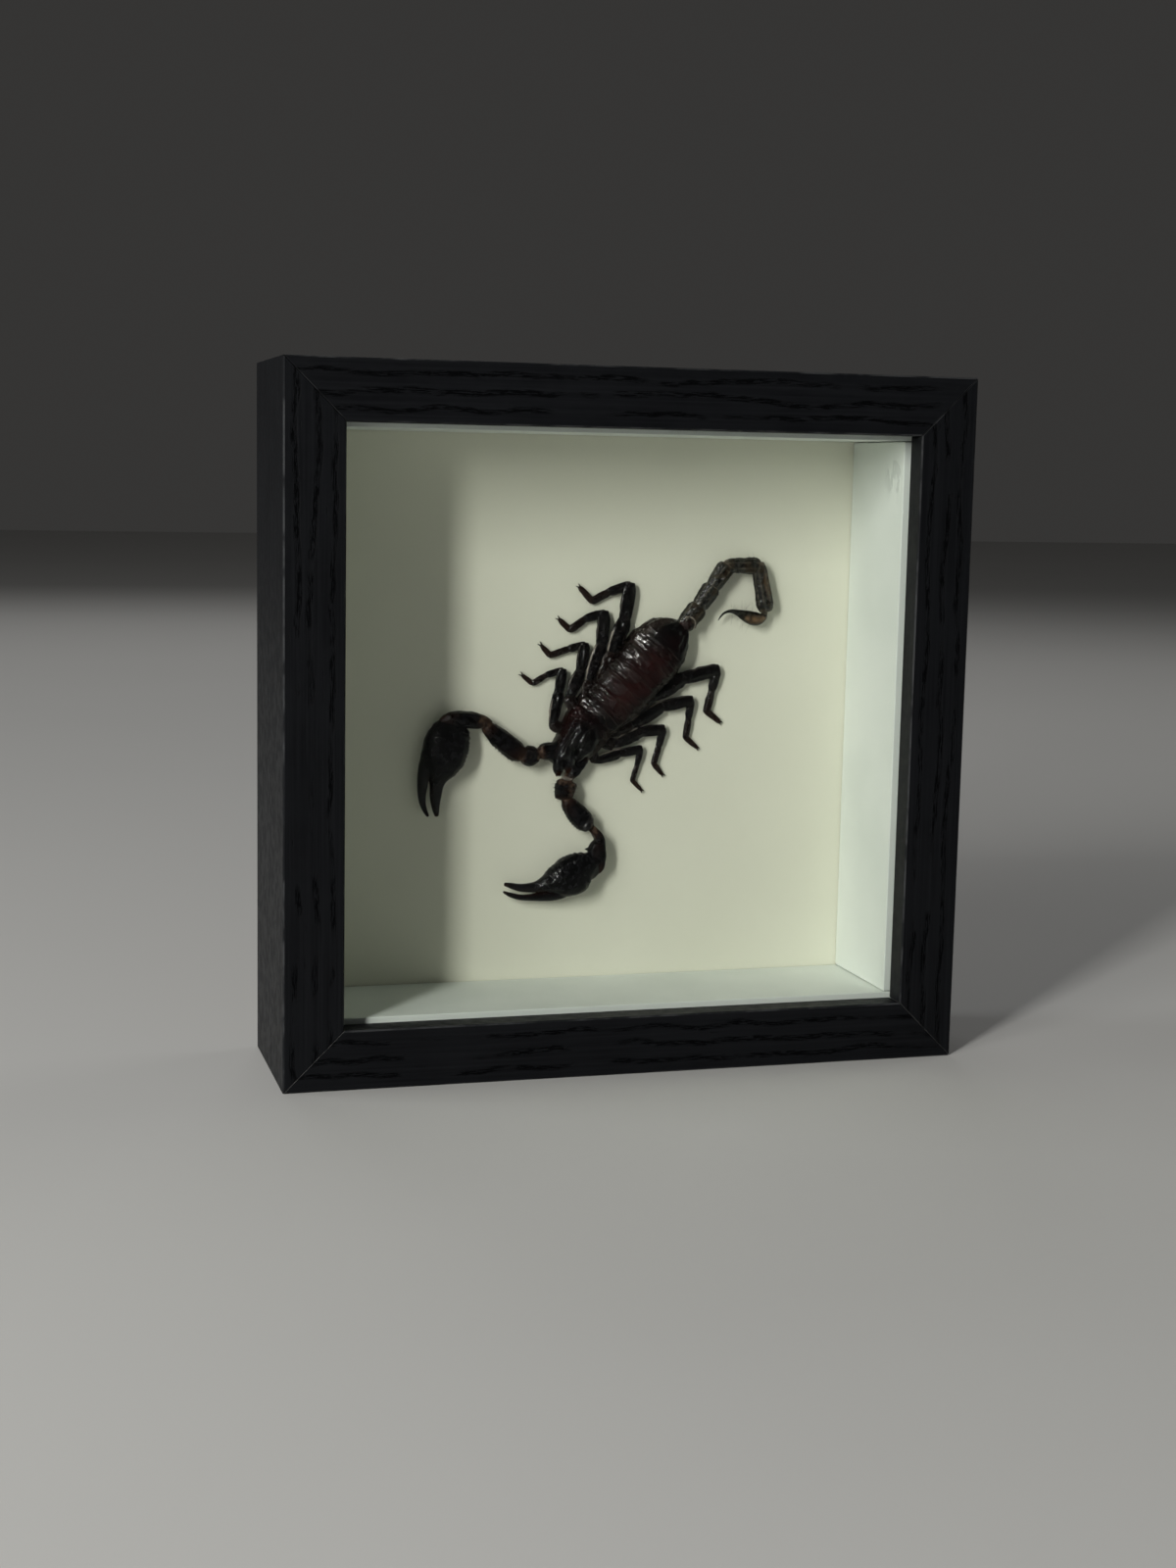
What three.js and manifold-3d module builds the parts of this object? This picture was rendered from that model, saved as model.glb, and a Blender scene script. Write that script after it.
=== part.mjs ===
// Framed scorpion specimen: a square glazed box frame with a dried scorpion laid on a cream card.
// Millimetres, +Z up. The frame stands on its bottom rail, the glass faces -Y and the back is at +Y.
// The origin is the centre of the frame's base.
import * as THREE from 'three';
import { mergeVertices } from 'three/addons/utils/BufferGeometryUtils.js';
import Module from 'manifold-3d';

const wasm = await Module();
wasm.setup();

// Frame: outer size, and the L section of its rails
const FRAME_SIDE = 230;
const FRAME_DEPTH = 60;
const FACE_WIDTH = 19.5;
const WALL_THICK = 15;
const LIP_THICK = 8.5;
const EDGE_CHAMFER = 0.5;
const GAP = 0.3;

// Sheets behind the lip, and how far behind the frame's front the card lies
const GLASS_THICK = 2;
const SPACER_OPENING = 188;
const CARD_DEPTH = 55;
const CARD_THICK = 1.2;
const BOARD_THICK = 2;

// Steel points that hold the back board
const TAB_WIDTH = 8;
const TAB_LENGTH = 20;
const TAB_THICK = 0.6;
const TAB_IN_WOOD = 6;
const TAB_SPREAD = 55;

// Sizes that follow from the above
const REBATE = FRAME_SIDE - 2 * WALL_THICK;
const PANEL = REBATE - 2 * GAP;
const SPACER_THICK = (PANEL - SPACER_OPENING) / 2;
const CENTRE = FRAME_SIDE / 2;
const FRONT = -FRAME_DEPTH / 2;
const GLASS_FRONT = FRONT + LIP_THICK + GAP;
const SPACER_FRONT = GLASS_FRONT + GLASS_THICK + GAP;
const CARD_FRONT = FRONT + CARD_DEPTH;
const SPACER_BACK = CARD_FRONT - GAP;
const BOARD_FRONT = CARD_FRONT + CARD_THICK + GAP;
const TAB_FRONT = BOARD_FRONT + BOARD_THICK + GAP;

// Scorpion, laid flat: x across the card, y up the card from the frame's base, z off the card.
// The carapace and the abdomen run along two straight axes that meet at the neck.
const NECK = [-0.5, 112];
const HEAD_FRONT = [-9.8, 98];
const TAIL_ROOT = [31.3, 145];

// Carapace: distance forward of the neck, half width, height of its top
const CARAPACE = [
  [-1.6, 8.2, 8.2], [3, 8.7, 8.9], [7, 8.4, 9], [11, 7.6, 8.5], [14, 6.9, 7.6], [16, 6.2, 6.6],
  [16.8, 5, 5.2],
];
const EYE_HUMP = { along: 8.2, radius: 1.5, height: 8.6 };
const GROOVE = { from: 9.5, to: 19.5, width: 1.7, depth: 2.6, height: 7.6 };

// Abdomen: where the seven back plates end, and its half width and top along the axis from the neck
const PLATE_ENDS = [4.5, 10, 15.5, 21.5, 28.5, 35.5, 45.2];
const PLATE_STEP = 0.35;
const PLATE_SEAM = 0.15;
const PLATE_CREST = 0.4;
const ABDOMEN_WIDTH = [
  [0, 8.4], [6, 9.7], [14, 10.5], [24, 10.2], [34, 10.3], [39.5, 8.3], [43.4, 5.2], [45.2, 3.4],
];
const ABDOMEN_TOP = [[0, 8.4], [12, 9.5], [28, 9.2], [36, 8.4], [42, 6.8], [45.2, 5.4]];

// Tail joints from the root to the stinger, each joint's half width, and how it swells along its length
const TAIL_JOINTS = [[32, 145], [36.5, 151.4], [41.2, 158.2], [46.8, 165.5], [58.5, 165.6], [61.7, 150.2]];
const TAIL_HALF = [3.3, 3.2, 2.95, 2.75, 2.95];
const TAIL_HEIGHT = 3.5;
const TAIL_SWELL = [[-0.03, 0.62], [0.12, 0.89], [0.75, 1], [0.95, 0.9], [1.03, 0.66]];
const TAIL_FLATNESS = 0.95;
const KEEL_COUNT = 6;
const KEEL_DEPTH = 0.1;

// Stinger: bulb, then the curved point. Stations are x, y, z, half width, half height
const STINGER = [
  [61.6, 149.6, 3.2, 0.9, 0.9], [60.7, 147.6, 3.2, 1.5, 1.5], [58.6, 146.9, 3.2, 2.3, 2.2],
  [56.2, 147.3, 3.2, 2.3, 2.2], [53.6, 148.2, 3.2, 1.75, 1.7], [51.3, 149.1, 3.1, 1.1, 1.1],
  [48.9, 149.6, 3, 0.65, 0.65], [46.5, 148.9, 2.9, 0.42, 0.42], [45.2, 147.6, 2.8, 0.3, 0.3],
  [44.4, 146.3, 2.7, 0.12, 0.12],
];

// Jaws, from under the carapace to the tip
const JAW_LEFT = [
  [-8.7, 99.6, 4.8, 1.2, 1.4], [-9, 97.6, 5, 1.8, 2], [-9.3, 95.6, 4.7, 1.7, 1.8],
  [-9.4, 93.9, 4.2, 0.9, 1], [-9.5, 93.3, 4, 0.4, 0.4],
];
const JAW_RIGHT = [
  [-13.1, 99, 4.4, 1.2, 1.4], [-12.9, 97, 4.5, 1.7, 1.9], [-12.7, 95, 4.3, 1.6, 1.7],
  [-12.4, 93.3, 3.9, 0.9, 1], [-12.3, 92.7, 3.7, 0.4, 0.4],
];

// Pincer arms: coxa and trochanter, femur with its edge of teeth, patella with its inner spike
const ARM_RIGHT = {
  coxa: [
    [-9.5, 103.5, 3.4, 2.2, 2], [-14, 102, 3.6, 2.7, 2.4], [-18.7, 101, 3.8, 2.5, 2.4],
    [-20.4, 100.6, 3.8, 1.8, 1.8],
  ],
  trochanter: [
    [-19.6, 100.6, 3.9, 1.7, 1.8], [-21.8, 100.2, 4, 2.8, 2.5], [-24.4, 100, 4, 2.9, 2.5],
    [-26, 100.3, 4, 1.8, 1.8],
  ],
  femur: [
    [-25.3, 100, 4.1, 2.2, 1.8], [-27.2, 101.1, 4.2, 3.2, 2.4], [-30.4, 103.5, 4.3, 3.4, 2.6],
    [-34, 106.4, 4.3, 3.2, 2.6], [-37, 109, 4.3, 2.6, 2.3], [-39.3, 110.9, 4.3, 1.7, 1.6],
  ],
  patella: [
    [-37.4, 111.4, 4.4, 1.3, 1.6], [-39.6, 112.2, 4.5, 1.9, 2.2], [-42.4, 112.7, 4.6, 2.4, 2.6],
    [-46, 113.2, 4.6, 2.6, 2.7], [-49.6, 113.5, 4.6, 2.2, 2.4], [-52.4, 113.1, 4.6, 1.5, 1.8],
    [-53.8, 112.5, 4.6, 1, 1.2],
  ],
  toothSide: 1,
  spike: [-42.6, 110.4],
};
const ARM_LEFT = {
  coxa: [
    [-3, 100.5, 3.4, 2, 2], [-5.6, 96.6, 3.5, 2.3, 2.2], [-8.4, 92.8, 3.7, 1.9, 2],
    [-9.4, 91.2, 3.8, 1.5, 1.6],
  ],
  trochanter: [
    [-9.7, 91.6, 3.9, 1.8, 1.8], [-10.2, 89.8, 4, 3.2, 2.5], [-10.4, 87, 4, 3.2, 2.5],
    [-9.9, 84.8, 4, 1.9, 1.8],
  ],
  femur: [
    [-10, 85.3, 4.1, 1.7, 1.7], [-9.1, 83.4, 4.2, 2.4, 2.3], [-7.2, 81, 4.3, 3.1, 2.6],
    [-4.7, 78.2, 4.3, 3.5, 2.7], [-2.6, 76, 4.3, 3.2, 2.4], [-1, 74.3, 4.3, 1.9, 1.7],
  ],
  patella: [
    [-0.9, 74.6, 4.4, 1.3, 1.5], [0.8, 72.9, 4.5, 1.5, 2], [2.2, 70.2, 4.6, 1.9, 2.4],
    [1.5, 66.8, 4.6, 3.2, 2.7], [1.8, 63, 4.6, 2.8, 2.5], [2.1, 60.2, 4.6, 1.7, 1.9],
    [1.6, 58.4, 4.6, 1, 1.2],
  ],
  toothSide: -1,
  spike: [-2, 67],
};
const TOOTH_COUNT = 9;
const TOOTH = { radius: 0.55, height: 1.5, sides: 5, bow: 0.15 };

// Hands with the fixed finger, from the wrist to the finger's tip
const HAND_RIGHT = [
  [-50.6, 112, 4.6, 4.2, 1.6], [-50.9, 110.6, 4.8, 5.9, 2.9], [-51.3, 108.4, 4.9, 6.8, 4],
  [-51.9, 105, 5, 7.4, 4.5], [-52.8, 101.6, 5, 7.3, 4.6], [-53.8, 98.2, 4.9, 6.9, 4.3],
  [-54.3, 95.2, 4.6, 5.2, 3.5], [-54.9, 92.8, 4.2, 3, 2.5], [-55.4, 90.3, 3.9, 2, 2],
  [-55.8, 87, 3.7, 1.6, 1.6], [-55.7, 83.4, 3.5, 1.2, 1.2], [-55.2, 80.6, 3.3, 0.65, 0.7],
  [-55, 79.5, 3.2, 0.2, 0.25],
];
const FINGER_RIGHT = [
  [-59.6, 97.6, 4.6, 0.8, 1], [-59.8, 95.6, 4.5, 1.9, 2], [-60.1, 93, 4.2, 1.8, 2],
  [-60.4, 90.3, 4, 1.45, 1.7], [-60.4, 87, 3.7, 1.1, 1.3], [-59.9, 84, 3.5, 0.8, 0.95],
  [-58.9, 81.6, 3.3, 0.55, 0.6], [-57.7, 79.5, 3.2, 0.2, 0.22],
];
const HAND_LEFT = [
  [1.7, 57.9, 4.6, 1.4, 1.3], [-0.7, 59.4, 4.8, 5.3, 3], [-3.6, 59.4, 4.9, 6.5, 4],
  [-7, 58.3, 5, 7, 4.5], [-10.5, 57, 5, 6.5, 4.5], [-13.9, 56.1, 4.8, 4.9, 3.9],
  [-16.7, 55.1, 4.4, 2.9, 2.8], [-19.5, 54.2, 4, 1.9, 2.1], [-22.5, 53.85, 3.8, 1.4, 1.7],
  [-26, 54, 3.6, 1.15, 1.3], [-29, 54.6, 3.4, 0.8, 0.85], [-31.2, 55.2, 3.2, 0.2, 0.25],
];
const FINGER_LEFT = [
  [-11.6, 51.2, 4.4, 0.8, 1], [-13.6, 50.9, 4.4, 1.5, 1.8], [-16.5, 50.6, 4.2, 1.4, 1.8],
  [-19.6, 50.5, 4, 1.2, 1.6], [-22.8, 50.3, 3.8, 1, 1.3], [-26, 50.6, 3.6, 0.85, 1],
  [-29, 51.5, 3.4, 0.6, 0.65], [-31.4, 52.6, 3.2, 0.2, 0.22],
];

// Legs: which side of the trunk they leave, the path from base over end of femur, knee, end of shin
// and ankle to the foot, and the half width at the knee
const LEGS = {
  leg_right_1: {
    side: 1,
    path: [[-15, 110.4], [-12.8, 121.3], [-11.4, 129.2], [-16.8, 127.6], [-21.8, 124.6], [-25.2, 127.3]],
    half: 1.6,
  },
  leg_right_2: {
    side: 1,
    path: [[-9.2, 119.8], [-5.1, 128.5], [-3.7, 138], [-9.1, 136.5], [-15.7, 134.2], [-18.7, 137.5]],
    half: 1.75,
  },
  leg_right_3: {
    side: 1,
    path: [[-2.2, 125], [2.2, 137.4], [3, 148.9], [-3.5, 146.8], [-8.8, 142.9], [-12.5, 146.4]],
    half: 1.9,
  },
  leg_right_4: {
    side: 1,
    path: [[5.5, 134.4], [10.4, 146.4], [12.1, 158.5], [5, 156.2], [-1.1, 152.8], [-5.4, 157.4]],
    half: 2.1,
  },
  leg_left_1: {
    side: -1,
    path: [[0.8, 97.6], [9.5, 100.2], [17.4, 101.5], [16.3, 96], [14.8, 90.3], [18.1, 87]],
    half: 1.4,
  },
  leg_left_2: {
    side: -1,
    path: [[7.2, 103.2], [17.3, 107.6], [25.5, 108.4], [24.1, 102.5], [22.5, 96.1], [25.7, 92.4]],
    half: 1.7,
  },
  leg_left_3: {
    side: -1,
    path: [[13.2, 109.7], [24.5, 116.4], [35.4, 118.4], [34.8, 112], [34, 105.2], [38.3, 101.6]],
    half: 1.8,
  },
  leg_left_4: {
    side: -1,
    path: [[20.6, 119.4], [32, 126.2], [44.7, 129], [43.2, 122], [41.4, 114.5], [46.5, 110.6]],
    half: 2.1,
  },
};
const LEG_HEIGHTS = [3.2, 3.6, 3.8, 3.4, 2.3, 1.5, 0.8];
const LEG_WIDTHS = [1.05, 1.25, 1, 0.56, 0.52, 0.46];
const LEG_SWELL = [[-0.04, 0.7], [0.2, 0.97], [0.65, 1], [1.04, 0.62]];
const LEG_FLATNESS = 0.75;
const LEG_SIDES = { thick: 7, thin: 5, thinUnder: 1.2 };
const LEG_ROOT = 5;
const FOOT_CLAW = { radius: 0.28, length: 1.4, spread: 0.45, reach: 0.56, sides: 5 };

// Facets round each kind of loft
const TRUNK_SIDES = 16;
const TAIL_SIDES = 12;
const ARM_SIDES = 8;
const HAND_SIDES = 12;
const FINGER_SIDES = 10;
const DOME_SIDES = 10;
const DOME_RINGS = 6;

// Small helpers for points and tables
const lerp = THREE.MathUtils.lerp;

function pointAlong(from, to, distance) {
  const whole = Math.hypot(to[0] - from[0], to[1] - from[1]);
  const share = distance / whole;
  return [lerp(from[0], to[0], share), lerp(from[1], to[1], share)];
}

function readTable(table, at) {
  const next = table.findIndex(([place]) => place >= at);
  if (next <= 0) return next === 0 ? table[0][1] : table.at(-1)[1];
  const [from, low] = table[next - 1];
  const [to, high] = table[next];
  return lerp(low, high, (at - from) / (to - from));
}

// Solids for joining and cutting, and back to geometry
function solidOf(geometry) {
  const bare = geometry.clone();
  bare.deleteAttribute('normal');
  bare.deleteAttribute('uv');
  const merged = mergeVertices(bare, 1e-4);
  const vertProperties = Float32Array.from(merged.attributes.position.array);
  const triVerts = Uint32Array.from(merged.index.array);
  return new wasm.Manifold(new wasm.Mesh({ numProp: 3, vertProperties, triVerts }));
}

function geometryOf(solid) {
  const mesh = solid.getMesh();
  const geometry = new THREE.BufferGeometry();
  geometry.setAttribute('position', new THREE.BufferAttribute(Float32Array.from(mesh.vertProperties), 3));
  geometry.setIndex(Array.from(mesh.triVerts));
  geometry.computeVertexNormals();
  return geometry;
}

function join(geometries) {
  return geometries.map(solidOf).reduce((whole, solid) => whole.add(solid));
}

// A closed body through stations of x, y, z, half width and half height. Each section stands square to
// the path in the plane of the card. The section shapes its radius by angle; grow widens it all round.
function loft(stations, sides, { grow = 0, section = () => 1 } = {}) {
  const last = stations.length - 1;
  const geometry = new THREE.CylinderGeometry(1, 1, 1, sides, last);
  const position = geometry.attributes.position;
  const frames = stations.map(([x, y, z, halfWidth, halfHeight], index) => {
    const before = stations[Math.max(index - 1, 0)];
    const after = stations[Math.min(index + 1, last)];
    const along = new THREE.Vector2(after[0] - before[0], after[1] - before[1]).normalize();
    const reach = index === 0 ? -grow : index === last ? grow : 0;
    return {
      centre: new THREE.Vector3(x + along.x * reach, y + along.y * reach, z),
      across: new THREE.Vector3(-along.y, along.x, 0),
      halfWidth: halfWidth + grow,
      halfHeight: halfHeight + grow,
    };
  });
  const point = new THREE.Vector3();
  for (let i = 0; i < position.count; i += 1) {
    const ring = Math.round((0.5 - position.getY(i)) * last);
    const { centre, across, halfWidth, halfHeight } = frames[ring];
    const angle = Math.atan2(position.getZ(i), position.getX(i));
    const scale = section(angle);
    point.copy(centre).addScaledVector(across, position.getX(i) * halfWidth * scale);
    point.z += position.getZ(i) * halfHeight * scale;
    position.setXYZ(i, point.x, point.y, point.z);
  }
  return geometry;
}

// A section between an ellipse and a rectangle, for the flattened trunk
function flattened(angle) {
  const power = 3;
  const c = Math.abs(Math.cos(angle));
  const s = Math.abs(Math.sin(angle));
  return (c ** power + s ** power) ** (-1 / power);
}

// Stations of a trunk piece: distance along an axis, half width and top; the underside lies on the card
function trunkStations(from, to, rows) {
  return rows.map(([distance, halfWidth, top]) => {
    const [x, y] = pointAlong(from, to, distance);
    return [x, y, (top + GAP) / 2, halfWidth, (top - GAP) / 2];
  });
}

// Frame rails: the bottom rail about the frame's centre, turned for the other three
function railProfile() {
  const shape = new THREE.Shape();
  shape.moveTo(EDGE_CHAMFER, 0);
  shape.lineTo(FACE_WIDTH - EDGE_CHAMFER, 0);
  shape.lineTo(FACE_WIDTH, EDGE_CHAMFER);
  shape.lineTo(FACE_WIDTH, LIP_THICK);
  shape.lineTo(WALL_THICK, LIP_THICK);
  shape.lineTo(WALL_THICK, FRAME_DEPTH);
  shape.lineTo(0, FRAME_DEPTH);
  shape.lineTo(0, EDGE_CHAMFER);
  shape.closePath();
  return shape;
}

function railGeometry() {
  const geometry = new THREE.ExtrudeGeometry(railProfile(), { depth: 1, bevelEnabled: false });
  const position = geometry.attributes.position;
  for (let i = 0; i < position.count; i += 1) {
    const across = position.getX(i);
    const back = position.getY(i);
    const halfLength = CENTRE - across - GAP / 2;
    const along = position.getZ(i) > 0.5 ? -halfLength : halfLength;
    position.setXYZ(i, along, FRONT + back, across - CENTRE);
  }
  const slots = [-1, 1].map((side) => {
    const size = [TAB_WIDTH + 2 * GAP, TAB_THICK + 2 * GAP, TAB_IN_WOOD + GAP];
    const slot = new THREE.BoxGeometry(...size);
    const middle = WALL_THICK - size[2] / 2 + GAP / 2;
    slot.translate(side * TAB_SPREAD, TAB_FRONT + TAB_THICK / 2, middle - CENTRE);
    return slot;
  });
  return geometryOf(solidOf(geometry).subtract(join(slots)));
}

// A tab lies flat on the back board: pointed end in the rail, round end over the board
function tabGeometry() {
  const half = TAB_WIDTH / 2;
  const shape = new THREE.Shape();
  shape.moveTo(0, 0);
  shape.lineTo(half, half);
  shape.lineTo(half, TAB_LENGTH - half);
  shape.absarc(0, TAB_LENGTH - half, half, 0, Math.PI, false);
  shape.lineTo(-half, half);
  shape.closePath();
  const plate = { depth: TAB_THICK, bevelEnabled: false, curveSegments: 5 };
  const geometry = new THREE.ExtrudeGeometry(shape, plate);
  geometry.rotateX(Math.PI / 2);
  geometry.translate(0, TAB_FRONT + TAB_THICK, 0);
  return geometry;
}

// Materials, one to each mesh
function finish(color, roughness, metalness = 0, opacity = 1) {
  return new THREE.MeshStandardMaterial({ color, roughness, metalness, opacity, transparent: opacity < 1 });
}

function addMesh(group, name, geometry, material) {
  const mesh = new THREE.Mesh(geometry, material);
  mesh.name = name;
  group.add(mesh);
  return mesh;
}

function sheet(width, thick, height, front) {
  const geometry = new THREE.BoxGeometry(width, thick, height);
  geometry.translate(0, front + thick / 2, 0);
  return geometry;
}

// Frame group: everything but the animal, about the frame's centre
function buildFrame() {
  const frame = new THREE.Group();
  frame.position.z = CENTRE;
  const sides = ['bottom', 'left', 'top', 'right'];
  const down = new THREE.Vector3(0, 0, -1);
  const upright = new THREE.Vector3(0, 1, 0);
  sides.forEach((side, turn) => {
    const outward = down.clone().applyAxisAngle(upright, (turn * Math.PI) / 2);
    const rail = addMesh(frame, `rail_${side}`, railGeometry(), finish(0x1b1b1d, 0.5));
    rail.rotation.y = (turn * Math.PI) / 2;
    [-1, 1].forEach((place, number) => {
      const holder = new THREE.Group();
      holder.rotation.y = (turn * Math.PI) / 2;
      frame.add(holder);
      const tab = addMesh(holder, `tab_${side}_${number + 1}`, tabGeometry(), finish(0xb4b6b8, 0.35, 0.9));
      tab.position.set(place * TAB_SPREAD, 0, WALL_THICK - TAB_IN_WOOD - CENTRE);
    });
    const across = turn % 2 === 0;
    const length = across ? PANEL : SPACER_OPENING - 2 * GAP;
    const strip = sheet(length, SPACER_BACK - SPACER_FRONT, SPACER_THICK, SPACER_FRONT);
    const spacer = addMesh(frame, `spacer_${side}`, strip, finish(0xf0f1ec, 0.6));
    spacer.rotation.y = (turn * Math.PI) / 2;
    spacer.position.copy(outward).multiplyScalar((PANEL - SPACER_THICK) / 2);
  });
  addMesh(frame, 'glass', sheet(PANEL, GLASS_THICK, PANEL, GLASS_FRONT), finish(0xdfe8e4, 0.05, 0, 0.25));
  addMesh(frame, 'mounting_card', sheet(PANEL, CARD_THICK, PANEL, CARD_FRONT), finish(0xece6d4, 0.9));
  addMesh(frame, 'back_board', sheet(PANEL, BOARD_THICK, PANEL, BOARD_FRONT), finish(0x8a6a48, 0.85));
  return frame;
}

// Trunk
function carapaceLoft(grow) {
  return loft(trunkStations(NECK, HEAD_FRONT, CARAPACE), TRUNK_SIDES, { grow, section: flattened });
}

function abdomenLoft(grow) {
  const rows = PLATE_ENDS.flatMap((end, plate) => {
    const start = plate === 0 ? 0 : PLATE_ENDS[plate - 1];
    const crest = lerp(start, end, PLATE_CREST);
    const places = [[start + PLATE_SEAM, -PLATE_STEP], [crest, 0], [end - PLATE_SEAM, PLATE_STEP / 2]];
    return places.map(([at, step]) => {
      return [at, readTable(ABDOMEN_WIDTH, at) + step, readTable(ABDOMEN_TOP, at) + step];
    });
  });
  return loft(trunkStations(NECK, TAIL_ROOT, rows), TRUNK_SIDES, { grow, section: flattened });
}

function buildCarapace() {
  const [x, y] = pointAlong(NECK, HEAD_FRONT, EYE_HUMP.along);
  const hump = new THREE.SphereGeometry(EYE_HUMP.radius, DOME_SIDES, DOME_RINGS);
  hump.translate(x, y, EYE_HUMP.height);
  const groove = new THREE.SphereGeometry(1, DOME_SIDES, DOME_RINGS);
  const [gx, gy] = pointAlong(NECK, HEAD_FRONT, (GROOVE.from + GROOVE.to) / 2);
  const turn = Math.atan2(HEAD_FRONT[1] - NECK[1], HEAD_FRONT[0] - NECK[0]);
  groove.scale((GROOVE.to - GROOVE.from) / 2, GROOVE.width / 2, GROOVE.depth);
  groove.rotateZ(turn);
  groove.translate(gx, gy, GROOVE.height);
  const shield = solidOf(carapaceLoft(0)).add(solidOf(hump)).subtract(solidOf(groove));
  return shield.subtract(solidOf(abdomenLoft(GAP)));
}

// Tail: each joint swells from a narrow neck, with raised keels along it
function keeled(angle) {
  return 1 - (KEEL_DEPTH * (1 - Math.cos(KEEL_COUNT * angle))) / 2;
}

function tailJoint(from, to, half, grow = 0) {
  const whole = Math.hypot(to[0] - from[0], to[1] - from[1]);
  const stations = TAIL_SWELL.map(([share, width]) => {
    const [x, y] = pointAlong(from, to, share * whole);
    return [x, y, TAIL_HEIGHT, half * width, half * width * TAIL_FLATNESS];
  });
  return loft(stations, TAIL_SIDES, { grow, section: keeled });
}

function buildTail() {
  return join(TAIL_HALF.map((half, index) => tailJoint(TAIL_JOINTS[index], TAIL_JOINTS[index + 1], half)));
}

// Pincer arm: its joints fused, a row of teeth along the femur's edge and a spike on the patella
function toothAt(x, y, z, direction) {
  const tooth = new THREE.ConeGeometry(TOOTH.radius, TOOTH.height, TOOTH.sides);
  tooth.rotateZ(direction - Math.PI / 2);
  tooth.translate(x, y, z);
  return tooth;
}

function femurTeeth(femur, side) {
  const first = femur[1];
  const last = femur[4];
  const heading = Math.atan2(last[1] - first[1], last[0] - first[0]);
  const outward = heading + (side * Math.PI) / 2;
  return Array.from({ length: TOOTH_COUNT }, (_, index) => {
    const share = index / (TOOTH_COUNT - 1);
    const reach = lerp(first[3], last[3], share) + TOOTH.bow * Math.sin(share * Math.PI);
    const x = lerp(first[0], last[0], share) + reach * Math.cos(outward);
    const y = lerp(first[1], last[1], share) + reach * Math.sin(outward);
    return toothAt(x, y, first[2], outward);
  });
}

function buildArm({ coxa, trochanter, femur, patella, toothSide, spike }) {
  const bodies = [coxa, trochanter, femur, patella].map((stations) => loft(stations, ARM_SIDES));
  const [px, py, pz] = patella[3];
  const spikeOut = Math.atan2(spike[1] - py, spike[0] - px);
  return join([...bodies, ...femurTeeth(femur, toothSide), toothAt(...spike, pz, spikeOut)]);
}

// Leg: a root under the trunk's edge and five tapering joints fused, with two claws at the foot
function legJoint(from, to, fromZ, toZ, half) {
  const whole = Math.hypot(to[0] - from[0], to[1] - from[1]);
  const stations = LEG_SWELL.map(([share, width]) => {
    const [x, y] = pointAlong(from, to, share * whole);
    const z = lerp(fromZ, toZ, share);
    return [x, y, z, half * width, Math.min(half * width * LEG_FLATNESS, z - GAP)];
  });
  return loft(stations, half > LEG_SIDES.thinUnder ? LEG_SIDES.thick : LEG_SIDES.thin);
}

function footClaws(path) {
  const [ankle, foot] = path.slice(-2);
  const heading = Math.atan2(foot[1] - ankle[1], foot[0] - ankle[0]);
  return [-1, 1].map((side) => {
    const direction = heading + side * FOOT_CLAW.spread;
    const claw = new THREE.ConeGeometry(FOOT_CLAW.radius, FOOT_CLAW.length, FOOT_CLAW.sides);
    claw.rotateZ(direction - Math.PI / 2);
    const x = foot[0] + FOOT_CLAW.reach * Math.cos(direction);
    const y = foot[1] + FOOT_CLAW.reach * Math.sin(direction);
    claw.translate(x, y, LEG_HEIGHTS.at(-1));
    return claw;
  });
}

function buildLeg({ path, half, side }) {
  const axis = new THREE.Vector2(TAIL_ROOT[0] - NECK[0], TAIL_ROOT[1] - NECK[1]).normalize();
  const root = [path[0][0] + side * LEG_ROOT * axis.y, path[0][1] - side * LEG_ROOT * axis.x];
  const points = [root, ...path];
  const joints = LEG_WIDTHS.map((width, index) => {
    const heights = [LEG_HEIGHTS[index], LEG_HEIGHTS[index + 1]];
    return legJoint(points[index], points[index + 1], ...heights, half * width);
  });
  return join([...joints, ...footClaws(path)]);
}

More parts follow.
